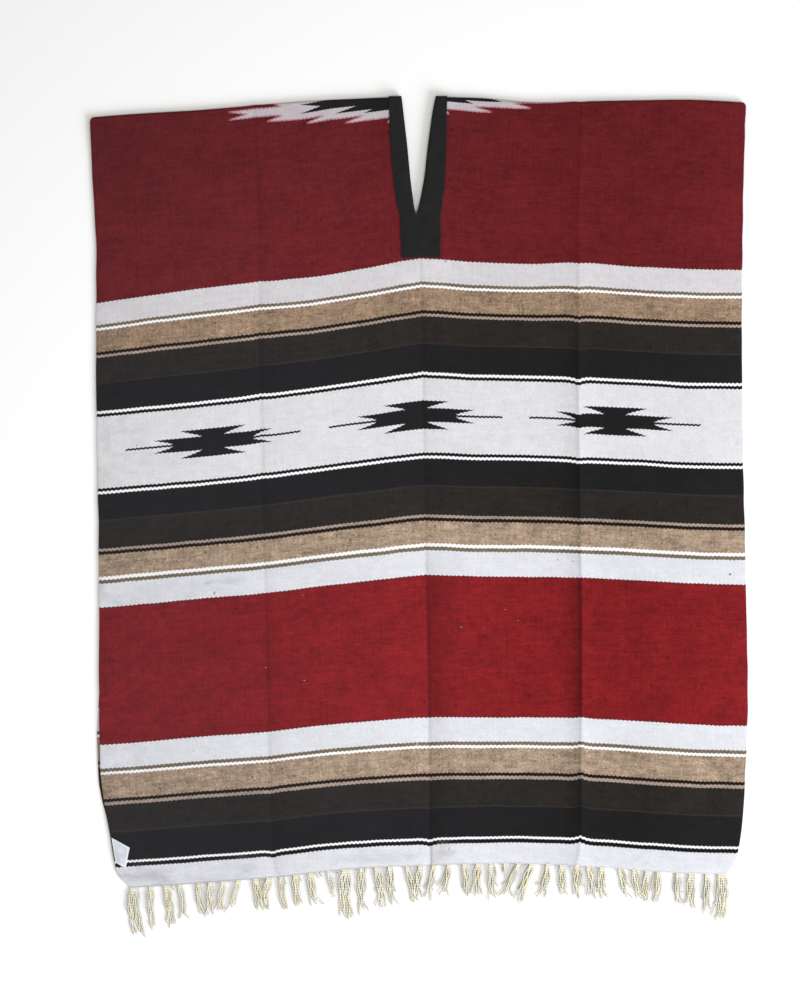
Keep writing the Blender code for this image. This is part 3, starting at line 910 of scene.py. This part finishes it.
def wornAndShadedCloth(add, inMm, across, along, colour):
    # Painted shade across the cloth, at the fold, beside the creases and along the hem's edge, blots at
    # the left edge, a grey veil, stains and single marks
    dyed = dyedShare(add, colour)
    upper, lower, dust = readTable(add, across, paintedShadeAcross, ("upper", "lower", "dust"), 0.0, 1.25)
    half = add("MapRange", None, along, *wearAndPaintedShade["toLowerShade"])
    tone = add("Mix", None, {0: half, 2: upper, 3: lower})
    atFold = add("MapRange", None, along, *wearAndPaintedShade["nearFold"])
    foldShade = add("Math", "POWER", add("MapRange", None, across, *wearAndPaintedShade["foldShade"]), atFold)
    # Painted shade: dyed wool is drawn lighter or darker across the cloth, and darker at the fold, as the
    # light falls
    napAndPaintedShade = add("Math", "MULTIPLY_ADD", add("Math", "SUBTRACT", tone, foldShade), dyed, 1.0)
    light = add("Math", "MULTIPLY", napAndPaintedShade, creaseShade(add, across, along, dyed))
    atEdge = add("MapRange", smooth, across, *wearAndPaintedShade["soiledEdge"])
    blots = add("TexNoise", flat, {"Vector": inMm, "Scale": 1 / wearAndPaintedShade["blotSize"], "Detail": 3.0})
    soil = add("Math", "MULTIPLY", atEdge, add("MapRange", None, blots, *wearAndPaintedShade["blots"]))
    # Painted shade along the hem's last rows, darker at the left
    lastRows = add("MapRange", None, along, *wearAndPaintedShade["lastRows"])
    hemEdgeShade = add("Math", "MULTIPLY", lastRows, add("MapRange", None, across, *wearAndPaintedShade["hemShadeAcross"]))
    undarkened = add("Math", "SUBTRACT", add("Math", "SUBTRACT", 1.0, soil), hemEdgeShade)
    shaded = add("VectorMath", "SCALE", {0: colour, "Scale": add("Math", "MULTIPLY", light, undarkened)})
    # A grey veil mixed into the colour, more at the left and towards the hem
    greyVeiled = add("Math", "MULTIPLY", dust, add("MapRange", None, along, *wearAndPaintedShade["greyVeilAlong"]))
    colour = add("Mix", colours, {0: greyVeiled, 6: shaded, 7: linearColour(wearAndPaintedShade["dust"])}).outputs[2]
    streaks = add("VectorMath", "MULTIPLY", inMm, (0.35, 1.0, 1.0))
    ragged = add("TexNoise", flat, {"Vector": streaks, "Scale": 1 / 11, "Detail": 4.0, "Roughness": 0.65})
    rim = add("MapRange", None, ragged, *wearAndPaintedShade["stainRim"])
    for x, y, wide, tall, dye, strength in zip(*marks.values()):
        offset = add("VectorMath", "SUBTRACT", inMm, (x, y, 0))
        scaled = add("VectorMath", "DIVIDE", offset, (wide, tall, 1))
        away = add("VectorMath", "LENGTH", scaled).outputs["Value"]
        stain = wide > wearAndPaintedShade["stainFrom"]
        if stain:
            away = add("Math", "ADD", away, rim)
        mask = add("MapRange", smooth, away, 1.0, 0.0 if stain else 0.4, 0.0, strength)
        colour = add("Mix", colours, {0: mask, 6: colour, 7: linearColour(dye)}).outputs[2]
    return colour


def makeWool():
    # Weft-faced wool, beaten so close that the warp shows only as faint ribs: dead matt, heathered
    material, add = newMaterial("weftFacedWool")
    place = add("Attribute", {"attribute_name": "weave"})
    inMm = add("VectorMath", "SCALE", {0: place.outputs["Vector"], "Scale": 1000.0})
    parts = add("SeparateXYZ", None, inMm)
    across, signedAlong = parts.outputs[0], parts.outputs[1]
    painted = wovenPattern(add, inMm, across, signedAlong)
    colour, floats = heatheredWool(add, inMm, painted)
    green = add("SeparateColor", None, painted[0]).outputs[1]
    onTan = add("Math", "MULTIPLY", painted[1], add("MapRange", None, green, *weaveLook["fleckGreen"]))
    for strength, *fleck in zip((onTan, onTan, painted[1]), *flecks.values()):
        colour = withFlecks(add, inMm, colour, strength, *fleck)
    colour = wornAndShadedCloth(add, inMm, across, awayFrom(add, signedAlong, 0.0), colour)

    # Rounded floats, and a short nap over them
    napAndPaintedShade = add("TexNoise", flat,
              {"Vector": inMm, "Scale": 1 / weaveLook["napSize"], "Detail": 2.0, "Roughness": 0.7})
    floatHeight = add("Math", "SUBTRACT", 1.0, floats.outputs[1])
    height = add("Math", "MULTIPLY_ADD", napAndPaintedShade, weaveLook["napHeight"], floatHeight)
    finishLook(add, colour, height, weaveLook["bump"], weaveLook["shine"])
    return material


# Neck binding: a black woven tape along each edge of the slit, turned over the cut edge
binding = {
    "columns": 8,
    "step": 0.0045,
    "turnStep": 15,
    "turnedEdge": 0.0011,              # radius of the turn over the cut edge
    "turnedRows": (0.35, 0.7),         # columns on the turn, as shares of it
    "turnedDrops": (1.15, 0.45, 0.12),     # how deep each column there drops, in walls of the cloth
    "closed": 0.004,                   # the turn is gone this far above the end of the slit
    "closing": 0.012,
    "rounding": 0.0003,
    "stitchInset": 0.0024,
    "stitchSpacing": 0.0038,
}


def makeBinding(side, material):
    rows, below = clothRows(binding["step"], binding["step"], binding["turnStep"], form["blockEnd"])
    turned = binding["turnedEdge"]
    lift = form["wall"] / 2 + form["gap"] + form["band"] / 2
    wide = binding["columns"] + 3

    def across(below):
        width = float(bandWidth(side, below))
        overEdge = [0.0001] + [turned * share for share in binding["turnedRows"]]
        return np.append(overEdge, np.linspace(turned, width, binding["columns"]))

    places, out, weave = surface(side, across, rows)
    out[:, :3] = out[:, 3:4]
    isOpen = ease((form["slitEnd"] - binding["closed"] - below) / binding["closing"])
    drops = np.zeros((len(rows), wide))
    drops[:, :3] = np.outer(isOpen, binding["turnedDrops"]) * form["wall"]
    places = places + out * (lift - drops)[..., None]
    faces = gridFaces(len(rows), wide, lambda r, c: r * wide + c, side)
    mesh = sheetMesh("neckBinding", places, weave, faces)
    made = makeObject(sideWord("neckBinding", side), mesh, material)
    return thicken(made, form["band"], binding["rounding"])


def makeTape(name, colour, rib, field=None):
    # Woven cotton tape: matt, with fine ribs along it, and on the label a paler field inside its edge
    material, add = newMaterial(name)
    place = add("Attribute", {"attribute_name": "weave"})
    inMm = add("VectorMath", "SCALE", {0: place.outputs["Vector"], "Scale": 1000.0})
    threads = add("TexBrick", None, {
        "Vector": inMm, "Color1": (0.35, 0.35, 0.35, 1), "Color2": (0.65, 0.65, 0.65, 1), "Scale": 1.0,
        "Mortar Size": 0.12, "Mortar Smooth": 1.0, "Brick Width": rib, "Row Height": rib * 0.8})
    wearNoise = add("TexNoise", flat, {"Vector": inMm, "Scale": 1 / 14, "Detail": 3.0})
    tone = add("MapRange", None, threads.outputs[0], 0.35, 0.65, 0.88, 1.12)
    wear = add("MapRange", None, wearNoise, 0.3, 0.7, 0.9, 1.1)
    swing = add("Math", "MULTIPLY", tone, wear)
    ground = linearColour(colour)[:3]
    if field:
        parts = add("SeparateXYZ", None, inMm)
        inside = 1.0
        for middle, measure in zip(np.array(field["size"]) / 2, parts.outputs):
            off = awayFrom(add, measure, middle)
            reach = middle - field["margin"]
            within = add("MapRange", None, off, reach + field["blur"], reach - field["blur"])
            inside = add("Math", "MULTIPLY", within, inside)
        ends = (linearColour(colour), linearColour(field["colour"]))
        ground = add("Mix", colours, {0: inside, 6: ends[0], 7: ends[1]}).outputs[2]
    toned = add("VectorMath", "SCALE", {0: ground, "Scale": swing})
    height = add("Math", "SUBTRACT", 1.0, threads.outputs[1])
    finishLook(add, toned, height, (0.5, 0.0003), {
        "Roughness": 0.9, "Specular IOR Level": 0.12, "Sheen Weight": 0.02})
    return material


# Yarns and stitches, by Geometry Nodes on guide lines


def newTree(name, *sizes):
    # A tree that runs on guide lines: its named sizes are its inputs, after the lines, with the
    # material as the last one
    tree = bpy.data.node_groups.new(name, "GeometryNodeTree")
    kinds = ["Geometry"] + ["Float"] * len(sizes) + ["Material"]
    for socket, kind in zip(("Geometry", *sizes, "Material"), kinds):
        tree.interface.new_socket(socket, in_out="INPUT", socket_type="NodeSocket" + kind)
    tree.interface.new_socket("Geometry", in_out="OUTPUT", socket_type="NodeSocketGeometry")
    add = partial(addNode, tree)
    given = add("NodeGroupInput").outputs
    lines = add("GeometryNodeMeshToCurve", None, {"Mesh": given["Geometry"]})
    return tree, add, given, lines


def finishTree(add, shape, given):
    # Plain mesh in one material, as the export needs it
    real = add("GeometryNodeRealizeInstances", None, shape)
    dyed = add("GeometryNodeSetMaterial", None, {"Geometry": real, "Material": given["Material"]})
    add("NodeGroupOutput", None, dyed)


def growOn(obj, tree, values):
    # Runs the tree on the guide lines, with its inputs set by identifier, and keeps the plain mesh
    inputs = [item for item in tree.interface.items_tree if item.in_out == "INPUT"]
    identifiers = {item.name: item.identifier for item in inputs}
    modifier = obj.modifiers.new(tree.name, "NODES")
    modifier.node_group = tree
    for name, value in values.items():
        modifier[identifiers[name]] = value
    made = withModifiersApplied(obj)
    made.data.shade_smooth()
    return made


def yarnTree():
    # Two plies wound round each other along every guide line
    tree, add, given, lines = newTree(
        "twoPlyYarn", "Ply radius", "Twist length", "Ring spacing", "Tip width")
    measure = {"data_type": "FLOAT", "domain": "POINT"}
    rings = add("GeometryNodeResampleCurve", {"mode": "LENGTH"},
                {"Curve": lines, "Length": given["Ring spacing"]})
    spline = add("GeometryNodeSplineParameter")
    turns = add("Math", "DIVIDE", spline.outputs["Length"], given["Twist length"])
    angle = add("Math", "MULTIPLY", turns, math.tau)
    measured = add("GeometryNodeStoreNamedAttribute", measure,
                   {"Geometry": rings, "Name": "fromRoot", "Value": spline.outputs["Length"]})
    twisted = add("GeometryNodeSetCurveTilt", None, {"Curve": measured, "Tilt": angle})
    width = add("MapRange", None,
                spline.outputs["Factor"], fringe["taperFrom"], 1.0, 1.0, given["Tip width"])
    circle = add("GeometryNodeCurvePrimitiveCircle", None,
                 {"Resolution": fringe["plySides"], "Radius": given["Ply radius"]})
    profile = tree.nodes.new("GeometryNodeJoinGeometry")
    plies = []
    for share in (-fringe["plyShift"], fringe["plyShift"]):
        offset = add("CombineXYZ", None, add("Math", "MULTIPLY", given["Ply radius"], share))
        plies.append(add("GeometryNodeTransform", None, {"Geometry": circle, "Translation": offset}))
    for ply in plies:
        tree.links.new(ply.outputs[0], profile.inputs[0])
    tube = add("GeometryNodeCurveToMesh", None,
               {"Curve": twisted, "Profile Curve": profile, "Scale": width, "Fill Caps": True})
    # How much each side of a ply faces up, for the painted shade on its sides and in the grooves
    facing = add("SeparateXYZ", None, add("GeometryNodeInputNormal"))
    sided = add("GeometryNodeStoreNamedAttribute", measure,
                {"Geometry": tube, "Name": "upward", "Value": facing.outputs[2]})
    finishTree(add, sided, given)
    return tree


def stitchTree():
    # One rounded stitch after another along every guide line
    tree, add, given, lines = newTree("runOfStitches", "Spacing", "Length", "Width")
    spots = add("GeometryNodeCurveToPoints", {"mode": "LENGTH"},
                {"Curve": lines, "Length": given["Spacing"]})
    turn = add("FunctionNodeAlignRotationToVector", {"axis": "X"}, {"Vector": spots.outputs["Tangent"]})
    bead = add("GeometryNodeMeshUVSphere", None, sewing["bead"])
    size = add("CombineXYZ", None, given["Length"], given["Width"], given["Width"])
    placed = add("GeometryNodeInstanceOnPoints", None,
                 {"Points": spots, "Instance": bead, "Rotation": turn, "Scale": size})
    finishTree(add, placed, given)
    return tree


def guideObject(name, lines):
    # Chains of edges, one for each line of points
    points, edges = [], []
    for line in lines:
        first = len(points)
        points += [tuple(point) for point in line]
        edges += [(n, n + 1) for n in range(first, len(points) - 1)]
    mesh = bpy.data.meshes.new(name)
    mesh.from_pydata(points, edges, [])
    return addObject(name, mesh)


# Fringe: warp ends gathered in tassels, each as it lies in the photo. Root is the place along the
# hem, lean how far the tips lie to its right, flare how far the outer yarns spread, all in mm.
tassels = table(
    "root  lean  length  yarns  flare",
    (-394,   4,  68,  8,  7),
    (-371,   2,  62,  4,  9),
    (-350,   6,  58,  5,  6),
    (-331,   5,  51,  4,  5),
    (-305,   8,  46,  4,  3),
    (-289,  -2,  48,  4,  4),
    (-271,  -6,  44,  4,  4),
    (-250, -10,  41,  4,  5),
    (-226,   6,  44,  5,  5),
    (-208,  -4,  46,  5,  8),
    (-191,   4,  46,  4,  4),
    (-171,   3,  44,  5,  6),
    (-150,   9,  44,  5,  8),
    (-126,   7,  38,  3,  3),
    (-102,   3,  67,  8,  7),
    (-80,    2,  64,  4,  8),
    (-59,    6,  60,  5,  5),
    (-41,    4,  55,  4,  5),
    (-17,    9,  49,  4,  4),
    (1,     -4,  52,  4,  4),
    (20,    -8,  49,  4,  5),
    (40,    -8,  44,  3,  6),
    (62,     3,  47,  4,  5),
    (81,    -4,  49,  5,  8),
    (99,     4,  51,  4,  4),
    (117,   -1,  21,  2,  2),
    (137,  -19,  47,  4,  5),
    (155,  -17,  55,  5,  6),
    (177,  -10,  47,  4,  7),
    (197,    0,  45,  5,  5),
    (217,    1,  47,  4,  5),
    (233,    5,  45,  4,  8),
    (252,    2,  43,  5,  5),
    (276,    9,  40,  3,  5),
    (296,    9,  40,  4,  4),
    (314,    1,  44,  4,  4),
    (330,   -5,  43,  4,  4),
    (357,    1,  46,  4,  6),
    (375,    0,  51,  5,  6),
    (397,   -2,  56,  4,  8),
    (417,   -2,  63,  8,  7),
)
fringe = {
    "plyRadius": 0.00078,
    "plySides": 6,
    "plyShift": 0.62,         # each ply's distance from the yarn's middle, in ply radii
    "taperFrom": 0.75,        # share of a yarn's length from which it thins to its tip
    "twistLength": 0.0075,
    "ringSpacing": 0.0018,
    "tipWidth": 0.8,
    "pitch": 0.0019,          # from yarn to yarn in a tassel
    "atHem": 0.78,            # how much narrower a tassel is in the hem, and just below it
    "gathered": 0.66,
    "gatheredTo": 0.0030,     # below the hem
    "rest": 0.0014,           # middle of a yarn that lies on the surface
    "over": 0.0024,           # the front's yarns lie on the back's
    "offBack": (0.030, 0.012),     # where they come off them, and the run over which they do
    "lift": 0.0012,           # how far loose yarns lie over each other
    "lengths": (0.90, 1.06),  # shortest and longest yarn of a tassel
    "looseRun": 0.009,        # run over which yarns part below the gathered root
    "dropOver": 0.022,        # run over which yarns sink from the hem to their rest
    "tipStart": 0.74,         # where along a yarn its tip begins to curl
    "tipOrder": (0.8, 0.35),  # how far tips keep their order, and how far they stray from it
    "flare": 0.22,            # share of a tassel's flare that its yarns take
    "wave": 0.0008,
    "waveLength": (0.020, 0.034),
    "bow": 0.0030,            # how far a tassel bends to one side
    "crossing": (0.3, 0.6),   # from which share of its length, and over which, a yarn changes place
    "curl": 0.0044,           # how far the loose tips turn to the side, and back up
    "curlOrder": (0.5, 0.7),  # how far outward they turn, and how far at random
    "fold": 0.0050,
    "inHem": 0.0006,          # how far up in the hem a yarn begins
    "ring": 0.0022,
    "fromEnd": 0.003,         # the outer tassels keep this far from the end of the hem
    "backShare": 0.82,        # the hidden tassels are a little shorter and thinner
    "backStray": 2,
    "backYarns": 3,
    "rootShade": 0.0040,      # run over which the roots are painted darker, as shadow under the hem
}


def hemLine(layer):
    # Middle of the wall along a hem, from left to right
    even = np.linspace(0, form["halfWidth"], 60)
    hem = float(form["halfLength"] - foldLine(0))
    lines = []
    for side in (-1, 1):
        places, _, _ = surface(side, even, [(layer, hem), (layer, hem - 0.005)])
        lines.append(places[0][::side])
    return np.concatenate([lines[0], lines[1][1:]])


def yarnLine(chance, hem, row, yarn, layer):
    # One warp end: out of the hem, then down to the surface and out to its tip
    count = row["yarns"]
    place = (yarn - (count - 1) / 2) / max(1, (count - 1) / 2)      # -1 to 1 across the tassel
    order, stray = fringe["tipOrder"]
    tipPlace = place * order + chance.uniform(-stray, stray)
    half = fringe["pitch"] * (count - 1) / 2
    middle = row["root"] * mm + form["frameX"]
    root = middle + place * half * fringe["atHem"]
    length = row["length"] * mm * chance.uniform(*fringe["lengths"])
    phase, period = chance.uniform(0, math.tau), chance.uniform(*fringe["waveLength"])
    outward, atRandom = fringe["curlOrder"]
    curl = (place * outward + chance.uniform(-atRandom, atRandom)) * fringe["curl"]
    fold = chance.uniform(0, 1) ** 3 * fringe["fold"]
    flare = row["flare"] * mm * fringe["flare"]
    level = chance.uniform(0, fringe["lift"])
    over = fringe["over"] if layer == "front" else 0.0
    backTip, easeOff = fringe["offBack"]
    crossFrom, crossOver = fringe["crossing"]
    narrow = place * half * fringe["gathered"]
    y0, z0 = (np.interp(root, hem[:, 0], hem[:, n]) for n in (1, 2))
    points = []
    steps = max(10, round(length / fringe["ring"]))
    for n in range(-1, steps + 1):
        run = length * n / steps
        t = run / length
        gather = ease(run / fringe["gatheredTo"])
        loose = ease((run - fringe["gatheredTo"]) / fringe["looseRun"])
        tip = ease((t - fringe["tipStart"]) / (1 - fringe["tipStart"]))
        across = place + (tipPlace - place) * ease((t - crossFrom) / crossOver)
        spread = across * (half + flare * t)
        x = root + (middle + narrow - root) * gather + (spread - narrow) * loose
        x += row["lean"] * mm * t**1.3 + row["bow"] * math.sin(math.pi * max(0, t)) * loose
        x += fringe["wave"] * loose * math.sin(run / period * math.tau + phase)
        x += curl * tip
        sunk = ease(run / fringe["dropOver"])
        onBack = over * (1 - ease((run - backTip) / easeOff))
        rest = fringe["rest"] + onBack + level * loose
        z = max(fringe["rest"], z0 + (rest - z0) * sunk)
        points.append((x, y0 + fringe["inHem"] - run + fold * tip**2, z))
    return points


def makeFringe(layer, seed, tree, material):
    chance = random.Random(seed)
    hem = hemLine(layer)
    first = hem[0, 0] + fringe["fromEnd"]
    lines = []
    for values in zip(*tassels.values()):
        row = dict(zip(tassels, map(float, values)))
        row["yarns"] = int(row["yarns"])
        row["bow"] = chance.uniform(-1, 1) * fringe["bow"]
        if layer == "back":
            row["root"] += chance.uniform(-fringe["backStray"], fringe["backStray"])
            row["length"] *= fringe["backShare"]
            row["yarns"] = min(row["yarns"], fringe["backYarns"])
        if row["root"] * mm + form["frameX"] < first:
            row["root"] = (first - form["frameX"]) / mm
        lines += [yarnLine(chance, hem, row, yarn, layer) for yarn in range(row["yarns"])]
    return growOn(guideObject(layer + "Fringe", lines), tree, {
        "Ply radius": fringe["plyRadius"], "Twist length": fringe["twistLength"],
        "Ring spacing": fringe["ringSpacing"], "Tip width": fringe["tipWidth"], "Material": material})


def makeYarnLook():
    # Plied cotton warp ends, unbleached: matt cream, with painted shade in the grooves and on the sides of
    # the plies, and painted shadow at the roots under the hem
    material, add = newMaterial("pliedCotton")
    place = add("TexCoord").outputs["Object"]
    upward, fromRoot = (add("Attribute", {"attribute_name": name}) for name in ("upward", "fromRoot"))
    fibres = add("TexNoise", None, {"Vector": place, "Scale": 900.0, "Detail": 2.0})
    dye = add("TexNoise", None, {"Vector": place, "Scale": 80.0, "Detail": 1.0})
    patch = add("MapRange", None, dye, 0.35, 0.65)
    tone = add("Mix", colours, {0: patch, 6: linearColour("#FFF6D2"), 7: linearColour("#FFFEEE")})
    # Painted shade on the sides of the plies, the less they face up
    side = add("MapRange", None, upward.outputs["Fac"], 0.38, 0.68, 0.0, 1.0)
    sideShaded = add("Mix", colours, {0: side, 6: linearColour("#3C3210"), 7: tone.outputs[2]})
    # Painted shadow at the roots, under the hem
    undarkened = add("MapRange", None, fromRoot.outputs["Fac"], 0.0015, fringe["rootShade"], 0.45, 1.0)
    toned = add("VectorMath", "SCALE", {0: sideShaded.outputs[2], "Scale": undarkened})
    finishLook(add, toned, fibres, (0.4, 0.0002), {
        "Roughness": 0.9, "Specular IOR Level": 0.25, "Sheen Weight": 0.1})
    return material


# Label: a blank tape sewn at the left selvedge
label = {
    "corners": ((-448.5, 994), (-425.0, 1010), (-436.0, 1039), (-448.5, 1030)),   # across, along
    "steps": 10,
    "thickness": 0.0010,
    "rounding": 0.0002,
    "stitchInset": 0.10,
    "stitchSpacing": 0.0032,
    "field": {"size": (27.0, 33.0), "margin": 3.0, "blur": 0.4, "colour": "#DFE4EE"},
}


def onFront(spots, lift):
    # Places on the front's outer face, from measures of the weave in mm
    signed, along = spots[..., 0] * mm, spots[..., 1] * mm
    fold = foldLine(signed)
    below = (along - fold) * (form["halfLength"] - foldLine(0)) / (form["halfLength"] - fold)
    x, y, _ = lieOf(-1, -signed, below, "front")
    return np.stack([x, y, frontHeight(-1, -signed, below) + lift], -1)


def labelPoint(s, t):
    a, b, c, d = (np.array(corner, float) for corner in label["corners"])
    return (a * (1 - s) + b * s) * (1 - t) + (d * (1 - s) + c * s) * t


def makeLabel(material):
    wide = label["steps"] + 1
    shares = [n / label["steps"] for n in range(wide)]
    spots = np.array([[labelPoint(s, t) for s in shares] for t in shares])
    places = onFront(spots, form["wall"] / 2 + 2 * form["gap"] + label["thickness"] / 2)
    own = np.stack(np.meshgrid(*(np.linspace(0, size, wide) for size in label["field"]["size"])), -1)
    weave = np.concatenate([own * mm, np.zeros((wide, wide, 1))], -1)
    faces = gridFaces(wide, wide, lambda r, c: c * wide + r, 1)
    mesh = sheetMesh("sideLabel", places, weave, faces)
    return thicken(makeObject("sideLabel", mesh, material), label["thickness"], label["rounding"])


# Sewing: a run of stitches along each outer edge of the binding and across its block, and down
# the label
sewing = {
    "length": 0.0026,
    "width": 0.0006,
    "bead": {"Segments": 8, "Rings": 6, "Radius": 0.5},
    "alongBinding": (0.004, 0.003),        # how far the runs stop short of the fold and of the block's end
    "acrossBlock": (0.0024, 0.0034),
    "blockStart": 0.002,
    "downLabel": (0.08, 0.92),
}


def bindingSeams():
    # Guide lines on the binding's upper face
    end = form["blockEnd"]
    start, short = sewing["alongBinding"]
    rows = [("front", float(below)) for below in np.linspace(start, end - short, 40)]
    ends = [("front", end - inset) for inset in sewing["acrossBlock"]]
    lift = form["wall"] / 2 + form["gap"] + form["band"]
    lines = []
    for side in (-1, 1):
        def across(below):
            edge = float(bandWidth(side, below)) - binding["stitchInset"]
            return np.array([edge - 0.001, edge])

        places, out, _ = surface(side, across, rows)
        lines.append((places + out * lift)[:, 1])
        places, out, _ = surface(side, np.linspace(sewing["blockStart"], across(end)[1], 8), ends)
        lines.append((places + out * lift)[0])
    return lines


def labelSeam():
    spots = np.array([labelPoint(label["stitchInset"], t) for t in np.linspace(*sewing["downLabel"], 8)])
    return [onFront(spots, form["wall"] / 2 + 2 * form["gap"] + label["thickness"])]


def makeStitches(name, lines, spacing, tree, material):
    return growOn(guideObject(name, lines), tree, {
        "Spacing": spacing, "Length": sewing["length"], "Width": sewing["width"], "Material": material})


def makeThread(name, colour):
    # Spun sewing thread: matt, with a faint twist of lighter and darker fibre
    material, add = newMaterial(name)
    place = add("TexCoord").outputs["Object"]
    fibres = add("TexNoise", None, {"Vector": place, "Scale": 1600.0, "Detail": 1.0})
    tone = add("MapRange", None, fibres, 0.35, 0.65, 0.75, 1.2)
    toned = add("VectorMath", "SCALE", {0: linearColour(colour)[:3], "Scale": tone})
    shader = add("BsdfPrincipled", None,
                 {"Base Color": toned, "Roughness": 0.75, "Specular IOR Level": 0.25})
    add("OutputMaterial", None, shader)
    return material


# Build

wool = makeWool()
blackTape = makeTape("blackCottonTape", "#232324", 1.1)
whiteTape = makeTape("whiteLabelTape", "#F0F5FA", 0.6, label["field"])
cotton = makeYarnLook()
print("materials ready")

serapeCloth = makeCloth(wool)
print("cloth", len(serapeCloth.data.polygons), "faces")

bindings = [makeBinding(side, blackTape) for side in (-1, 1)]
sideLabel = makeLabel(whiteTape)
stitches = stitchTree()
bindingStitches = makeStitches("bindingStitches", bindingSeams(), binding["stitchSpacing"], stitches,
                               makeThread("blackSewingThread", "#2A2A2B"))
labelStitches = makeStitches("labelStitches", labelSeam(), label["stitchSpacing"], stitches,
                             makeThread("whiteSewingThread", "#DDE0E4"))
print("binding, label and stitches ready")

twistedYarn = yarnTree()
frontFringe = makeFringe("front", 21, twistedYarn, cotton)
backFringe = makeFringe("back", 22, twistedYarn, cotton)
print("fringes", len(frontFringe.data.polygons), len(backFringe.data.polygons), "faces")

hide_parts("front_left", "front_right", "back_left", "back_right")
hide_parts("front_band_left", "back_band_left")
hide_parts("front_band_right", "back_band_right")
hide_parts("label")
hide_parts("front_fringe")
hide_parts("back_fringe")
for piece, slotName in (
    (serapeCloth, "serape_wool"), (bindings[0], "neck_band"), (bindings[1], "neck_band"),
    (bindingStitches, "neck_band"), (sideLabel, "label_tape"), (labelStitches, "label_tape"),
    (frontFringe, "warp_cotton"), (backFringe, "warp_cotton"),
):
    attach(piece, body)

# Plain pale floor, soft light from low at the right, camera straight above
studio = {
    "floorSize": 8.0,
    "floorColour": "#FFFFFF",
    "cameraHeight": 3.258,
    "lens": 85.0,
    "lookX": -0.0260,         # the photo's middle, on the surface
    "lookY": 0.0232,
    "surface": 0.006,
    "airColour": "#FFFDF8",
    "airLight": 0.33,
}
lamps = {                     # place, aim, size, power, colour
    "keySoftbox": ((3.4, -3.7, 2.7), (0, 0, 0), 3.2, 300, "#F3F5FF"),
    "overheadSoftbox": ((0.2, -0.15, 2.3), (0.2, -0.15, 0), 1.6, 26, "#FFFEFA"),
}


def makeFloor():
    half = studio["floorSize"] / 2
    corners = [(-half, -half, 0), (half, -half, 0), (half, half, 0), (-half, half, 0)]
    mesh = bpy.data.meshes.new("floor")
    mesh.from_pydata(corners, [], [(0, 1, 2, 3)])
    material, add = newMaterial("paleBoard")      # smooth pale board, matt
    shader = add("BsdfPrincipled", None, {
        "Base Color": linearColour(studio["floorColour"]), "Roughness": 0.8, "Specular IOR Level": 0.2})
    add("OutputMaterial", None, shader)
    makeObject("floor", mesh, material)


def addLight(name, place, aim, size, power, colour):
    light = bpy.data.lights.new(name, "AREA")
    light.color = linearColour(colour)[:3]
    light.shape = "DISK"
    light.size = size
    light.energy = power
    lamp = addObject(name, light)
    lamp.location = place
    lamp.rotation_euler = (Vector(aim) - Vector(place)).to_track_quat("-Z", "Y").to_euler()
    lamp.visible_camera = False


def makeStudio():
    makeFloor()
    for name, settings in lamps.items():
        addLight(name, *settings)
    world = bpy.data.worlds.new("studio")
    world.use_nodes = True
    air = world.node_tree.nodes["Background"].inputs
    air["Color"].default_value = linearColour(studio["airColour"])
    air["Strength"].default_value = studio["airLight"]
    scene = bpy.context.scene
    scene.world = world
    scene.view_settings.view_transform = "Standard"
    data = bpy.data.cameras.new("camera")
    data.sensor_fit = "VERTICAL"
    data.sensor_height = 36.0
    data.lens = studio["lens"]
    data.clip_end = 30.0
    scene.camera = addObject("camera", data)
    scene.camera.location = (studio["lookX"], studio["lookY"], studio["surface"] + studio["cameraHeight"])


makeStudio()
print("studio ready")
